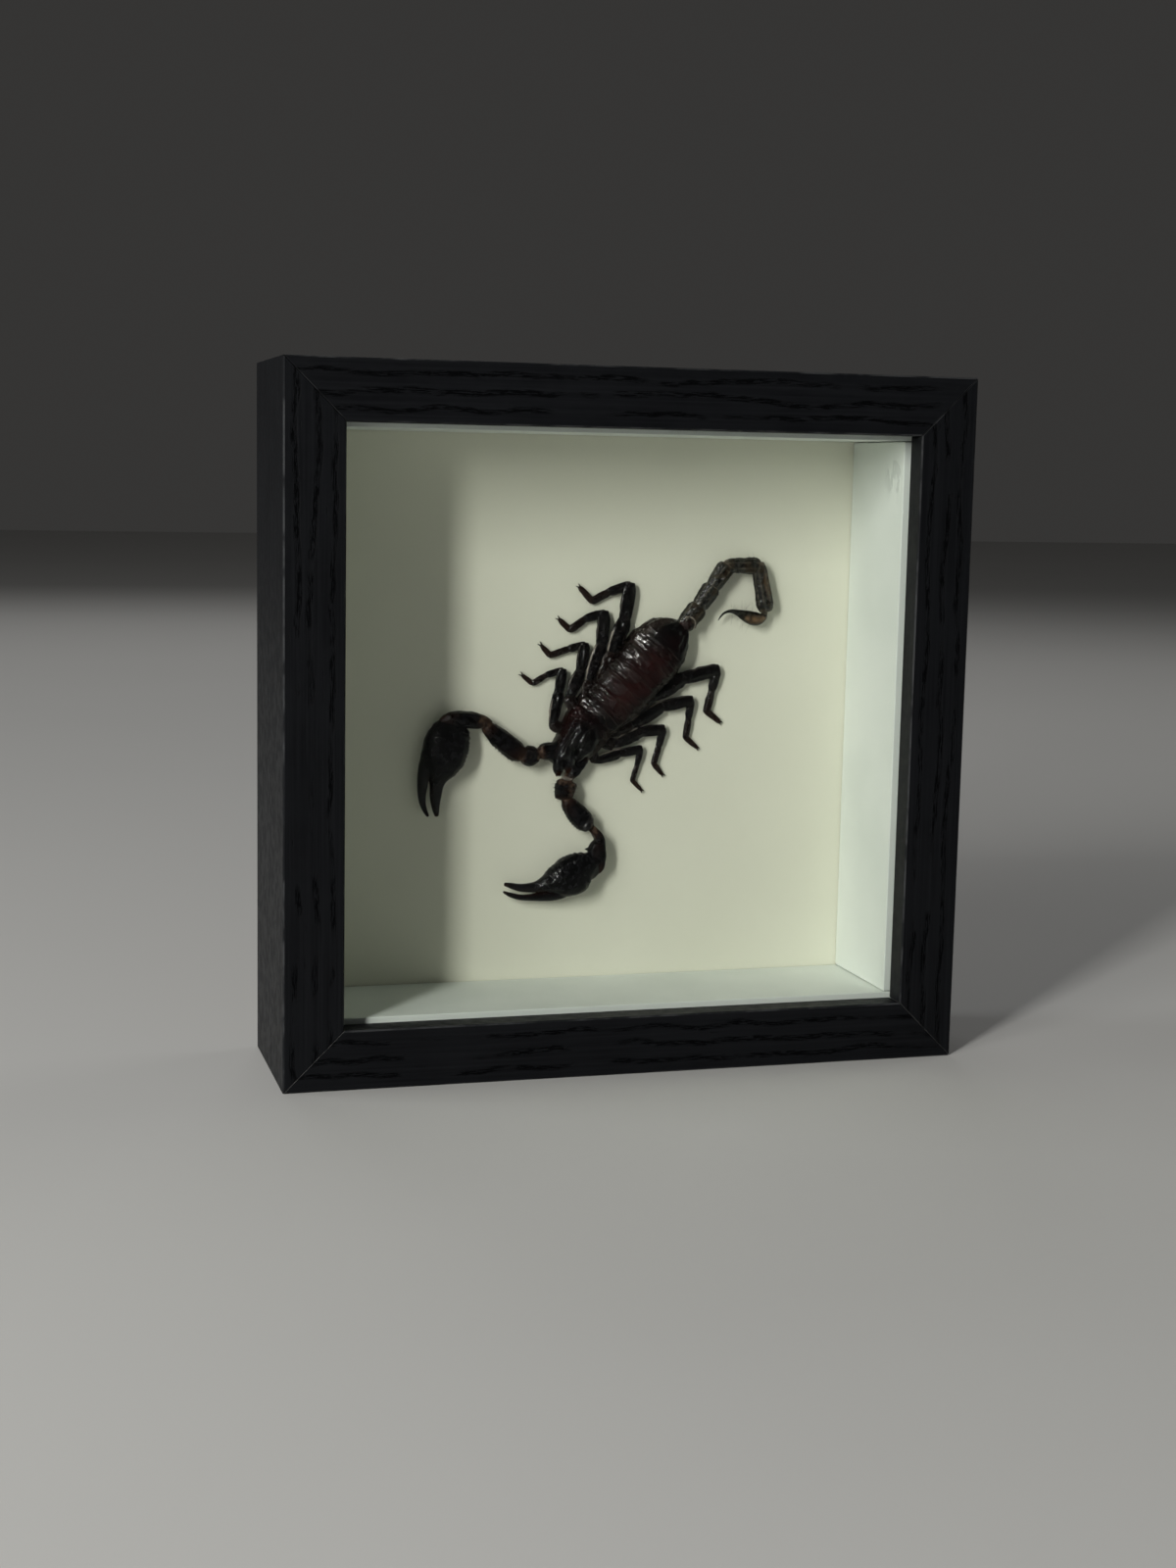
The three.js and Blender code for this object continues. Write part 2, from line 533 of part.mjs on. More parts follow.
// Scorpion group: built on the card's plane, then stood up against it
function buildScorpion() {
  const scorpion = new THREE.Group();
  scorpion.rotation.x = Math.PI / 2;
  scorpion.position.y = CARD_FRONT;
  const add = (name, solid, color, roughness) => {
    addMesh(scorpion, name, geometryOf(solid), finish(color, roughness));
  };

  const trunkRoom = solidOf(carapaceLoft(GAP)).add(solidOf(abdomenLoft(GAP)));
  const coxaRoom = join([ARM_LEFT, ARM_RIGHT].map(({ coxa }) => loft(coxa, ARM_SIDES, { grow: GAP })));
  const carapace = buildCarapace();
  add('carapace', carapace, 0x1a1a20, 0.3);
  add('abdomen', solidOf(abdomenLoft(0)), 0x43201f, 0.28);

  const tail = buildTail();
  add('tail', tail.subtract(solidOf(abdomenLoft(GAP))), 0x24241f, 0.4);
  const lastJoint = tailJoint(TAIL_JOINTS[4], TAIL_JOINTS[5], TAIL_HALF[4], GAP);
  add('stinger', solidOf(loft(STINGER, FINGER_SIDES)).subtract(solidOf(lastJoint)), 0x3a2a20, 0.35);

  const jaws = { left: JAW_LEFT, right: JAW_RIGHT };
  const arms = { left: ARM_LEFT, right: ARM_RIGHT };
  const hands = { left: HAND_LEFT, right: HAND_RIGHT };
  const fingers = { left: FINGER_LEFT, right: FINGER_RIGHT };
  const carapaceRoom = solidOf(carapaceLoft(GAP));
  const jawRoom = join(Object.values(jaws).map((stations) => loft(stations, FINGER_SIDES, { grow: GAP })));
  ['left', 'right'].forEach((side) => {
    const handRoom = solidOf(loft(hands[side], HAND_SIDES, { grow: GAP }));
    add(`jaw_${side}`, solidOf(loft(jaws[side], FINGER_SIDES)).subtract(carapaceRoom), 0x1c1a1e, 0.25);
    const arm = buildArm(arms[side]).subtract(trunkRoom).subtract(jawRoom).subtract(handRoom);
    add(`arm_${side}`, arm, 0x1d1b1e, 0.35);
    add(`hand_${side}`, solidOf(loft(hands[side], HAND_SIDES)), 0x16161a, 0.25);
    add(`finger_${side}`, solidOf(loft(fingers[side], FINGER_SIDES)).subtract(handRoom), 0x16161a, 0.25);
  });

  const legRoom = trunkRoom.add(coxaRoom);
  Object.entries(LEGS).forEach(([name, leg]) => add(name, buildLeg(leg).subtract(legRoom), 0x1f1a1b, 0.3));
  return scorpion;
}

const part = new THREE.Group();
part.add(buildFrame(), buildScorpion());
export default part;
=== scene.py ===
# Framed scorpion specimen: the finish of every piece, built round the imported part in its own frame.
# Blender works in metres. The animal's tables are in millimetres on the card: x across it, y up from
# the frame's base, z off the card towards the glass.
import itertools
import math

import bmesh
import bpy
import numpy as np
from mathutils import Matrix, Vector


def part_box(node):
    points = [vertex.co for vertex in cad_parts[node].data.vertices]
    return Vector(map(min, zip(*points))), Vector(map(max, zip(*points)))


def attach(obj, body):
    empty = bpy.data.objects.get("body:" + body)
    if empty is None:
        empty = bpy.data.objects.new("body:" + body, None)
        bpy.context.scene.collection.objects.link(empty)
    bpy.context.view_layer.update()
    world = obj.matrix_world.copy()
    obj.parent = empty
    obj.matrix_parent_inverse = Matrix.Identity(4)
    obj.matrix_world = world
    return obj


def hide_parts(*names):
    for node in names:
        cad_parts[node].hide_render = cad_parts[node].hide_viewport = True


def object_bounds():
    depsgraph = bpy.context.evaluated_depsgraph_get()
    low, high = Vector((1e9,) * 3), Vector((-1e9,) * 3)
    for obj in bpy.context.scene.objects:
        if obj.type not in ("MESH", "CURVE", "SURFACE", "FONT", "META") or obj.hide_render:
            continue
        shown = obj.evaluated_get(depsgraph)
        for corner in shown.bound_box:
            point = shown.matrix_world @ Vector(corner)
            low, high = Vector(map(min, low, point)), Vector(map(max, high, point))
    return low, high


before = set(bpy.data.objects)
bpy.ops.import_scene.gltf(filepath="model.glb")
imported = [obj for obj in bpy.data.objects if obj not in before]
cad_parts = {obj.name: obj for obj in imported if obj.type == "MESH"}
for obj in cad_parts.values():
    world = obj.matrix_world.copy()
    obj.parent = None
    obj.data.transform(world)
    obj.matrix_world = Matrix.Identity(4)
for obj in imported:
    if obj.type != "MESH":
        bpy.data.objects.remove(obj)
cad_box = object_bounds()

MM = 0.001
TURN = 2 * math.pi
UP = math.pi / 2
SIDES = ("left", "right")
RAILS = ("bottom", "left", "top", "right")
CARD_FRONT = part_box("mounting_card")[0].y
UNDERSIDE = 0.25

# Trunk: the carapace and the abdomen run along two straight axes that meet at the neck
NECK = (-0.5, 112)
HEAD_FRONT = (-9.8, 98)
TAIL_ROOT = (31.3, 145)
# Distance forward of the neck, half width, height of the top
CARAPACE = [
    (-2, 8.4, 8.0), (3, 8.7, 8.8), (7, 8.1, 9.0), (11, 7.2, 8.5), (14, 6.6, 7.7), (16, 6.1, 6.9),
    (17, 5.5, 5.8),
]
EYE_HUMP = 8.2
PLATE_ENDS = (4.5, 10, 15.5, 21.5, 28.5, 35.5, 45.2)
# Distance back from the neck, half width, height of the top
ABDOMEN = [
    (0, 8.6, 8.4), (6, 9.7, 9.4), (14, 10.5, 9.8), (24, 10.3, 9.6), (33, 10.5, 9.0), (38, 9.2, 8.2),
    (41.5, 7.2, 7.2), (44.2, 4.8, 6.2), (45.8, 3.3, 5.5),
]

# Tail: joints from the root to the stinger, and half width of each
TAIL_JOINTS = [(31.2, 144.2), (36.8, 151.2), (41.6, 158), (46.8, 165.5), (58.5, 165.6), (61.6, 150.2)]
TAIL_HALF = (3.4, 3.15, 3.0, 2.65, 2.85)
TAIL_HEIGHT = 3.5
TAIL_FLATNESS = 0.95
# Numbers of the joints with amber at their ends, and of the one with an amber streak
TAIL_AMBER_ENDS = (2, 3)
TAIL_AMBER_STREAK = 4
# How a joint swells: share of its length, share of its half width
TAIL_SWELL = [
    (-0.08, 0.66), (0.02, 0.82), (0.15, 0.91), (0.45, 0.98), (0.75, 1.04), (0.9, 1.02),
    (0.98, 0.9), (1.06, 0.7),
]
# Stations of this and the lofts below: x, y, z, half width, half height
STINGER = [
    (61.6, 149.6, 3.2, 0.9, 0.9), (60.7, 147.6, 3.2, 1.5, 1.5), (58.6, 146.9, 3.2, 2.3, 2.2),
    (56.2, 147.3, 3.2, 2.3, 2.2), (53.6, 148.2, 3.2, 1.75, 1.7), (51.3, 149.1, 3.1, 1.1, 1.1),
    (48.9, 149.6, 3, 0.65, 0.65), (46.5, 148.9, 2.9, 0.42, 0.42), (45.2, 147.6, 2.8, 0.3, 0.3),
    (44.4, 146.3, 2.7, 0.12, 0.12),
]
# The red lobe at the tail's root
TAIL_LOBE = [
    (30.6, 143.4, 4.9, 1.4, 1.2), (31.7, 144.6, 5.3, 2.2, 1.5), (32.8, 145.8, 5.4, 2.1, 1.4),
    (33.6, 146.7, 5.2, 1.2, 1.0),
]
# The ring of pale skin round that lobe: x, y, z, radius
TAIL_RING = (32.3, 145.2, 6.4, 2.6)

JAWS = {
    "left": [
        (-8.5, 102.6, 4.9, 1.2, 1.5), (-8.8, 100.8, 5.4, 1.9, 2.0), (-9.2, 98.4, 5.6, 2.0, 2.1),
        (-9.4, 96.2, 5.0, 1.95, 1.9), (-9.4, 94.6, 4.4, 1.3, 1.3), (-9.5, 93.5, 4.0, 0.5, 0.5),
    ],
    "right": [
        (-13.2, 100.0, 4.6, 1.3, 1.5), (-13.0, 97.4, 4.8, 1.9, 1.9), (-12.9, 95.2, 4.4, 1.9, 1.7),
        (-12.7, 93.6, 3.9, 1.2, 1.1), (-12.6, 92.8, 3.7, 0.5, 0.5),
    ],
}

ARMS = {
    "right": {
        "coxa": [
            (-9.5, 103.5, 3.4, 2.2, 2), (-14, 102, 3.6, 2.7, 2.4), (-18.7, 101, 3.8, 2.5, 2.4),
            (-20.4, 100.6, 3.8, 1.8, 1.8),
        ],
        "trochanter": [
            (-19.6, 100.6, 3.9, 1.7, 1.8), (-21.8, 100.2, 4, 2.8, 2.5), (-24.4, 100, 4, 2.9, 2.5),
            (-26, 100.3, 4, 1.8, 1.8),
        ],
        "femur": [
            (-25.3, 100, 4.1, 2.2, 1.8), (-27.2, 101.1, 4.2, 3.2, 2.4), (-30.4, 103.5, 4.3, 3.4, 2.6),
            (-34, 106.4, 4.3, 3.2, 2.6), (-37, 109, 4.3, 2.6, 2.3), (-39.3, 110.9, 4.3, 1.7, 1.6),
        ],
        "patella": [
            (-37.0, 110.8, 4.4, 1.5, 1.7), (-39.6, 111.9, 4.5, 2.2, 2.3), (-42.4, 112.4, 4.6, 2.7, 2.7),
            (-46, 112.8, 4.7, 2.95, 2.9), (-49.6, 113.0, 4.7, 2.7, 2.7), (-52.6, 112.7, 4.7, 2.0, 2.2),
            (-54.6, 111.8, 4.7, 1.1, 1.4),
        ],
        "spike": (-42.6, 110.4),
    },
    "left": {
        "coxa": [
            (-3, 100.5, 3.4, 2, 2), (-5.6, 96.6, 3.5, 2.3, 2.2), (-8.4, 92.8, 3.7, 1.9, 2),
            (-9.4, 91.2, 3.8, 1.5, 1.6),
        ],
        "trochanter": [
            (-9.7, 91.6, 3.9, 2.1, 1.8), (-10.1, 89.8, 4, 3.5, 2.6), (-10.3, 87, 4, 3.5, 2.6),
            (-9.9, 84.6, 4, 2.2, 1.8),
        ],
        "femur": [
            (-10, 85.3, 4.1, 1.7, 1.7), (-9.1, 83.4, 4.2, 2.4, 2.3), (-7.2, 81, 4.3, 3.1, 2.6),
            (-4.7, 78.2, 4.3, 3.5, 2.7), (-2.6, 76, 4.3, 3.2, 2.4), (-1, 74.3, 4.3, 1.9, 1.7),
        ],
        "patella": [
            (-0.9, 74.6, 4.4, 1.3, 1.5), (0.8, 72.9, 4.5, 1.5, 2), (2.2, 70.2, 4.6, 1.9, 2.4),
            (1.5, 66.8, 4.6, 3.2, 2.7), (1.8, 63, 4.6, 2.8, 2.5), (2.1, 60.2, 4.6, 1.7, 1.9),
            (1.6, 58.4, 4.6, 1, 1.2),
        ],
        "spike": (-2, 67),
    },
}
# The angle round each pincer's lofts at which its teeth stand
TOOTH_TURN = {"right": 0, "left": math.pi}
# Pale skin in front of the jaws
JAW_SKIN = [
    (-11.6, 92.7, 4.4, 0.3, 0.5), (-10.6, 92.0, 4.9, 0.7, 0.7), (-8.6, 91.9, 4.9, 0.65, 0.7),
    (-7.2, 92.8, 4.4, 0.3, 0.5),
]
# Where the left trochanter turns tan, across the card
TAN_FROM = -10.2
# The shining knob at the end of the left femur: x, y, z, radius
FEMUR_KNOB = (-3.2, 75.6, 6.3, 1.9)
# The way its flattened face looks
KNOB_FACE = np.array([-0.485, 0.24, 0.841])
HANDS = {
    "right": [
        (-50.6, 112, 4.6, 4.2, 1.6), (-50.9, 110.6, 4.8, 5.9, 2.9), (-51.3, 108.4, 4.9, 6.8, 4),
        (-52.3, 105, 5, 7.7, 4.5), (-53.2, 101.6, 5, 7.6, 4.6), (-54.2, 98.2, 4.9, 7.2, 4.3),
        (-54.7, 95.2, 4.6, 5.6, 3.5), (-55.2, 92.8, 4.2, 3.6, 2.6), (-55.5, 90.3, 3.9, 2.4, 2.2),
        (-55.8, 87, 3.7, 2.05, 1.9), (-55.8, 83.6, 3.5, 1.5, 1.5), (-55.5, 81.2, 3.3, 1.05, 1.05),
        (-55.2, 79.5, 3.2, 0.6, 0.6),
    ],
    "left": [
        (1.7, 57.9, 4.6, 1.4, 1.3), (-0.7, 59.4, 4.8, 5.3, 3), (-3.6, 59.4, 4.9, 6.5, 4),
        (-7, 58.3, 5, 7, 4.5), (-10.5, 57, 5, 6.5, 4.5), (-13.9, 56.1, 4.8, 4.9, 3.9),
        (-16.7, 55.1, 4.4, 3.0, 2.8), (-19.5, 54.3, 4, 2.0, 2.1), (-22.5, 53.95, 3.8, 1.6, 1.7),
        (-26, 54.1, 3.6, 1.3, 1.35), (-29, 54.8, 3.4, 0.98, 1.0), (-31.3, 55.4, 3.2, 0.55, 0.6),
    ],
}
FINGERS = {
    "right": [
        (-58.6, 101.5, 4.6, 1.2, 1.4), (-59.2, 99, 4.6, 2.2, 2.2), (-59.9, 95.6, 4.5, 2.2, 2.3),
        (-60.3, 93, 4.2, 1.95, 2.1), (-60.5, 90.3, 4, 1.75, 1.8), (-60.6, 87, 3.7, 1.4, 1.5),
        (-60.2, 84, 3.5, 1.05, 1.15), (-59.3, 81.6, 3.3, 0.8, 0.85), (-58.2, 79.6, 3.2, 0.45, 0.5),
    ],
    "left": [
        (-7.6, 53.0, 4.4, 1.0, 1.2), (-10.2, 52.0, 4.5, 1.7, 1.9), (-13.4, 51.1, 4.4, 1.75, 2.0),
        (-16.5, 50.9, 4.2, 1.8, 1.8), (-19.6, 50.7, 4, 1.5, 1.6), (-22.8, 50.5, 3.8, 1.1, 1.35),
        (-26, 50.7, 3.6, 0.98, 1.1), (-29, 51.55, 3.4, 0.82, 0.85), (-31.6, 52.7, 3.2, 0.4, 0.45),
    ],
}

# Legs from the head backwards: half width, then the path from the base over the end of the femur, the
# knee, the end of the shin and the ankle to the foot
LEG_ROWS = {
    "right": [
        (1.6, (-15, 110.4), (-12.8, 121.3), (-11.4, 129.2), (-16.8, 127.6), (-21.8, 124.6), (-25.2, 127.3)),
        (1.75, (-9.2, 119.8), (-5.1, 128.5), (-3.7, 138), (-9.1, 136.5), (-15.7, 134.2), (-18.7, 137.5)),
        (1.9, (-2.2, 125), (2.2, 137.4), (3, 148.9), (-3.5, 146.8), (-8.8, 142.9), (-12.5, 146.4)),
        (2.1, (5.5, 134.4), (10.4, 146.4), (12.1, 158.5), (5, 156.2), (-1.1, 152.8), (-5.4, 157.4)),
    ],
    "left": [
        (1.4, (0.8, 97.6), (9.5, 100.2), (17.4, 101.5), (16.3, 96), (14.8, 90.3), (18.1, 87)),
        (1.7, (7.2, 103.2), (17.3, 107.6), (25.5, 108.4), (24.1, 102.5), (22.5, 96.1), (25.7, 92.4)),
        (1.8, (13.2, 109.7), (24.5, 116.4), (35.4, 118.4), (34.8, 112), (34, 105.2), (38.3, 101.6)),
        (2.1, (20.6, 119.4), (32, 126.2), (44.7, 129), (43.2, 122), (41.4, 114.5), (46.5, 110.6)),
    ],
}
LEGS = {
    f"leg_{side}_{number}": row
    for side, rows in LEG_ROWS.items() for number, row in enumerate(rows, 1)
}
# The six joints of a leg, from its root to its foot: heights of their ends, share of the half width, how
# warm their shell is, and the numbers of those that differ
LEG_HEIGHTS = (3.0, 2.5, 2.1, 2.0, 1.5, 1.1, 0.7)
LEG_WIDTHS = (1.15, 1.22, 1.05, 0.72, 0.62, 0.52)
LEG_WARMTH = (0.2, 0.02, 0.0, 0.04, 0.2, 0.5)
LEG_HIP, LEG_FEMUR, LEG_FOOT = 0, 1, 5
LEG_SWELL = [(-0.08, 0.74), (0.04, 0.88), (0.22, 0.98), (0.6, 1.03), (0.9, 0.97), (1.08, 0.78)]
FEMUR_SWELL = [(-0.08, 0.5), (0.04, 0.6), (0.25, 0.84), (0.6, 1.03), (0.9, 0.95), (1.08, 0.78)]
FOOT_SWELL = [(-0.08, 0.8), (0.04, 1.0), (0.22, 1.03), (0.6, 0.92), (0.9, 0.74), (1.08, 0.52)]
LEG_FLATNESS = 0.62
# The bases of all legs point to one place under the trunk, and this share of the way is built
LEG_CENTRE = (-3, 106)
LEG_ROOT = 0.5
FOOT_CLAW = 1.5


# Number helpers


def step(low, high, value):
    """0 below low, 1 above high, smooth between."""
    share = np.clip((value - low) / (high - low), 0, 1)
    return share * share * (3 - 2 * share)


def ridge(value, centre, width):
    """A rounded crest of height 1."""
    return np.exp(-(((value - centre) / width) ** 2))


def crest(turn, centre, width):
    """A crest that runs along a loft at one angle of its section."""
    away = np.angle(np.exp(1j * (turn - centre)))
    return np.exp(-((away / width) ** 2))


def crest_pair(turn, offset, width):
    """Two such crests, at an angle to both sides of the top."""
    return crest(turn, UP + offset, width) + crest(turn, UP - offset, width)


def scatter_hash(cells, seed):
    """A fixed number from 0 to 1 for each lattice cell."""
    x, y, z = np.moveaxis(cells.astype(np.int64), -1, 0)
    mixed = (x * 73856093) ^ (y * 19349663) ^ (z * 83492791) ^ (seed * 2654435761)
    mixed = (mixed ^ (mixed >> 13)) * 1274126177
    return ((mixed ^ (mixed >> 16)) & 0xFFFF) / 0xFFFF


def noise(points, size, seed):
    """Smooth lumps about size apart, from -1 to 1."""
    scaled = points / size
    cells = np.floor(scaled)
    part = scaled - cells
    weight = part * part * (3 - 2 * part)
    total = np.zeros(points.shape[:-1])
    for corner in itertools.product((0, 1), repeat=3):
        share = np.prod(np.where(np.array(corner) == 1, weight, 1 - weight), axis=-1)
        total += share * scatter_hash(cells + corner, seed)
    return total * 2 - 1


def granules(points, size, seed):
    """Rounded grains about size apart: 1 on a grain's crown, 0 between grains."""
    scaled = points / size
    cells = np.floor(scaled)
    nearest = np.full(points.shape[:-1], 9.0)
    for corner in itertools.product((-1, 0, 1), repeat=3):
        cell = cells + corner
        spot = cell + np.stack([scatter_hash(cell, seed + axis) for axis in range(3)], axis=-1)
        nearest = np.minimum(nearest, np.linalg.norm(spot - scaled, axis=-1))
    return np.clip(1 - (nearest / 0.65) ** 2, 0, 1)


def smooth_through(place, values, at):
    """A smooth curve through values at the given places, read at other places."""
    tangent = np.gradient(values, place, axis=0)
    index = np.clip(np.searchsorted(place, at, side="right") - 1, 0, len(place) - 2)
    span = (place[index + 1] - place[index])[:, None]
    t = (at - place[index])[:, None] / span
    start = (1 + 2 * t) * (1 - t) ** 2 * values[index] + t * (1 - t) ** 2 * span * tangent[index]
    end = t * t * (3 - 2 * t) * values[index + 1] + t * t * (t - 1) * span * tangent[index + 1]
    return start + end


def along_axis(start, end, distance):
    """A point on the card at a distance from start towards end."""
    start, end = np.array(start, float), np.array(end, float)
    return start + (end - start) * distance / np.linalg.norm(end - start)


# Shells: closed skins in millimetres on the card, with named tones at every point


class Shell:
    """Points, faces and tones of one or more closed skins."""

    TONES = ("membrane", "warm", "gloss")

    def __init__(self, points, faces, tones):
        self.points = points
        self.faces = faces
        zero = np.zeros(len(points))
        self.tones = {name: tones.get(name, zero) for name in self.TONES}

    @classmethod
    def joined(cls, shells):
        """Several shells as one."""
        starts = np.cumsum([0] + [len(shell.points) for shell in shells])
        faces = [[i + start for i in face] for shell, start in zip(shells, starts) for face in shell.faces]
        tones = {name: np.concatenate([shell.tones[name] for shell in shells]) for name in cls.TONES}
        return cls(np.concatenate([shell.points for shell in shells]), faces, tones)


def loft_path(stations):
    """How far along its path each station lies, and the stations as an array."""
    knots = np.array(stations, float)
    spans = np.linalg.norm(np.diff(knots[:, :3], axis=0), axis=1)
    return np.concatenate([[0], np.cumsum(spans)]), knots


def length_of(stations):
    """The length of a loft's path."""
    return loft_path(stations)[0][-1]


def across_of(path):
    """The direction in the card's plane square to a path, to its left."""
    heading = np.gradient(path[:, :2], axis=0)
    heading /= np.linalg.norm(heading, axis=1)[:, None]
    return np.stack([-heading[:, 1], heading[:, 0], np.zeros(len(path))], axis=1)


def grid_normals(points):
    """Outward normals of a ring by side grid of points."""
    lengthwise = np.gradient(points, axis=0)
    round_it = np.roll(points, -1, axis=1) - np.roll(points, 1, axis=1)
    normal = np.cross(round_it, lengthwise)
    return normal / np.maximum(np.linalg.norm(normal, axis=-1), 1e-9)[..., None]


def loft(stations, rings, sides, power=2.0, caps=(0.5, 0.5), relief=None, tones=None, shift=None):
    """A closed skin through stations. Relief, tones and shift are functions of the distance along it,
    the angle round it (0 left of the heading, UP towards the glass) and the points so far. Tones can
    also be plain values."""
    place, knots = loft_path(stations)
    share = np.linspace(0, 1, rings)
    eased = share - 0.11 * np.sin(TURN * share)
    at = eased * place[-1]
    path = smooth_through(place, knots, at)
    lead = np.clip(at / caps[0], 0, 1)
    tail = np.clip((place[-1] - at) / caps[1], 0, 1)
    rounding = np.sqrt(1 - (1 - lead) ** 2) * np.sqrt(1 - (1 - tail) ** 2)
    turn = np.arange(sides) * TURN / sides
    at, turn = np.meshgrid(at, turn, indexing="ij")
    cos, sin = np.cos(turn), np.sin(turn)
    radius = (np.abs(cos) ** power + np.abs(sin) ** power) ** (-1 / power) * rounding[:, None]
    wide = cos * radius * np.maximum(path[:, 3], 0.05)[:, None]
    high = sin * radius * np.maximum(path[:, 4], 0.05)[:, None]
    points = path[:, None, :3] + across_of(path)[:, None, :] * wide[..., None]
    points[..., 2] += high
    if shift is not None:
        points += shift(at, turn, points)
    if relief is not None:
        fade = np.minimum(rounding * 1.4, 1)[:, None]
        points += grid_normals(points) * (relief(at, turn, points) * fade)[..., None]
    points[..., 2] = np.maximum(points[..., 2], UNDERSIDE)
    values = tones(at, turn, points) if callable(tones) else tones or {}
    values = {name: np.broadcast_to(np.clip(value, 0, 1), at.shape) for name, value in values.items()}
    return close_grid(points, values)


def close_grid(points, values):
    """A ring by side grid as a shell, its first and last rings drawn together to poles."""
    rings, sides = points.shape[:2]
    poles = points[[0, -1]].mean(axis=1)
    body = points[1:-1].reshape(-1, 3)
    ring = np.arange(rings - 3)[:, None] * sides
    here = np.arange(sides)
    after = (here + 1) % sides
    quads = np.stack([ring + here, ring + after, ring + sides + after, ring + sides + here], axis=-1)
    first, last = len(body), len(body) + 1
    top = (rings - 3) * sides
    fans = [(first, j, i) for i, j in zip(here, after)]
    fans += [(last, top + i, top + j) for i, j in zip(here, after)]
    tones = {
        name: np.concatenate([value[1:-1].ravel(), value[[0, -1]].mean(axis=1)])
        for name, value in values.items()
    }
    return Shell(np.concatenate([body, poles]), quads.reshape(-1, 4).tolist() + fans, tones)


def bead(centre, radius, rings=9, sides=12):
    """A small shining ball."""
    x, y, z = centre
    stations = [(x + offset, y, z, radius, radius) for offset in (-radius, 0, radius)]
    return loft(stations, rings, sides, caps=(radius, radius), tones={"gloss": 1})


def on_card(points):
    """Millimetres on the card as metres in the part's frame."""
    x, y, z = np.moveaxis(np.asarray(points, float), -1, 0)
    return np.stack([x * MM, CARD_FRONT - z * MM, y * MM], axis=-1)


def add_tone(mesh, name, values, domain="POINT"):
    """A named number for each point or face of a mesh."""
    attribute = mesh.attributes.new(name, "FLOAT", domain)
    attribute.data.foreach_set("value", np.asarray(values, np.float32))


def new_object(name, data):
    """An object in the scene."""
    made = bpy.data.objects.new(name, data)
    bpy.context.scene.collection.objects.link(made)
    return made


def shell_object(name, shells, material):
    """Shells as one object at the origin, their tones kept as attributes."""
    shell = Shell.joined(shells)
    mesh = bpy.data.meshes.new(name)
    mesh.from_pydata(on_card(shell.points).tolist(), [], shell.faces)
    for tone, values in shell.tones.items():
        add_tone(mesh, tone, values)
    mesh.shade_smooth()
    mesh.materials.append(material)
    return new_object(name, mesh)


def join_objects(objects):
    """Several objects as one, under the first one's name."""
    with bpy.context.temp_override(active_object=objects[0], selected_editable_objects=objects):
        bpy.ops.object.join()
    return objects[0]


def pale_skin(name, stations, rings, sides, depth, size, pale, seed):
    """A crumpled strip of pale skin: depth and size of its lumps, and how pale it is."""
    shell = loft(
        stations, rings, sides, relief=lambda at, turn, points: depth * noise(points, size, seed),
        tones=lambda at, turn, points: {"membrane": pale + 0.3 * noise(points, 0.8, seed + 1)},
    )
    return shell_object(name, [shell], LEG)


def settle(piece, slot, *nodes):
    """A finished piece rides on the part and stands for its solids. Its slot is not used."""
    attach(piece, "root")
    if nodes:
        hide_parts(*nodes)


# Node trees for materials and for Geometry Nodes


def add_node(tree, kind, inputs, **settings):
    """One node; its inputs are set by name or number, or linked where the value is a socket."""
    node = tree.nodes.new(kind)
    for key, value in settings.items():
        setattr(node, key, value)
    for key, value in (inputs or {}).items():
        if isinstance(value, bpy.types.NodeSocket):
            tree.links.new(value, node.inputs[key])
        else:
            node.inputs[key].default_value = value
    return node


def first_of(tree, kind, inputs=None, **settings):
    """The first output of a new node."""
    return add_node(tree, kind, inputs, **settings).outputs[0]


def maths(tree, operation, first, second):
    """The result of a calculation with two values or sockets."""
    return first_of(tree, "ShaderNodeMath", {0: first, 1: second}, operation=operation)


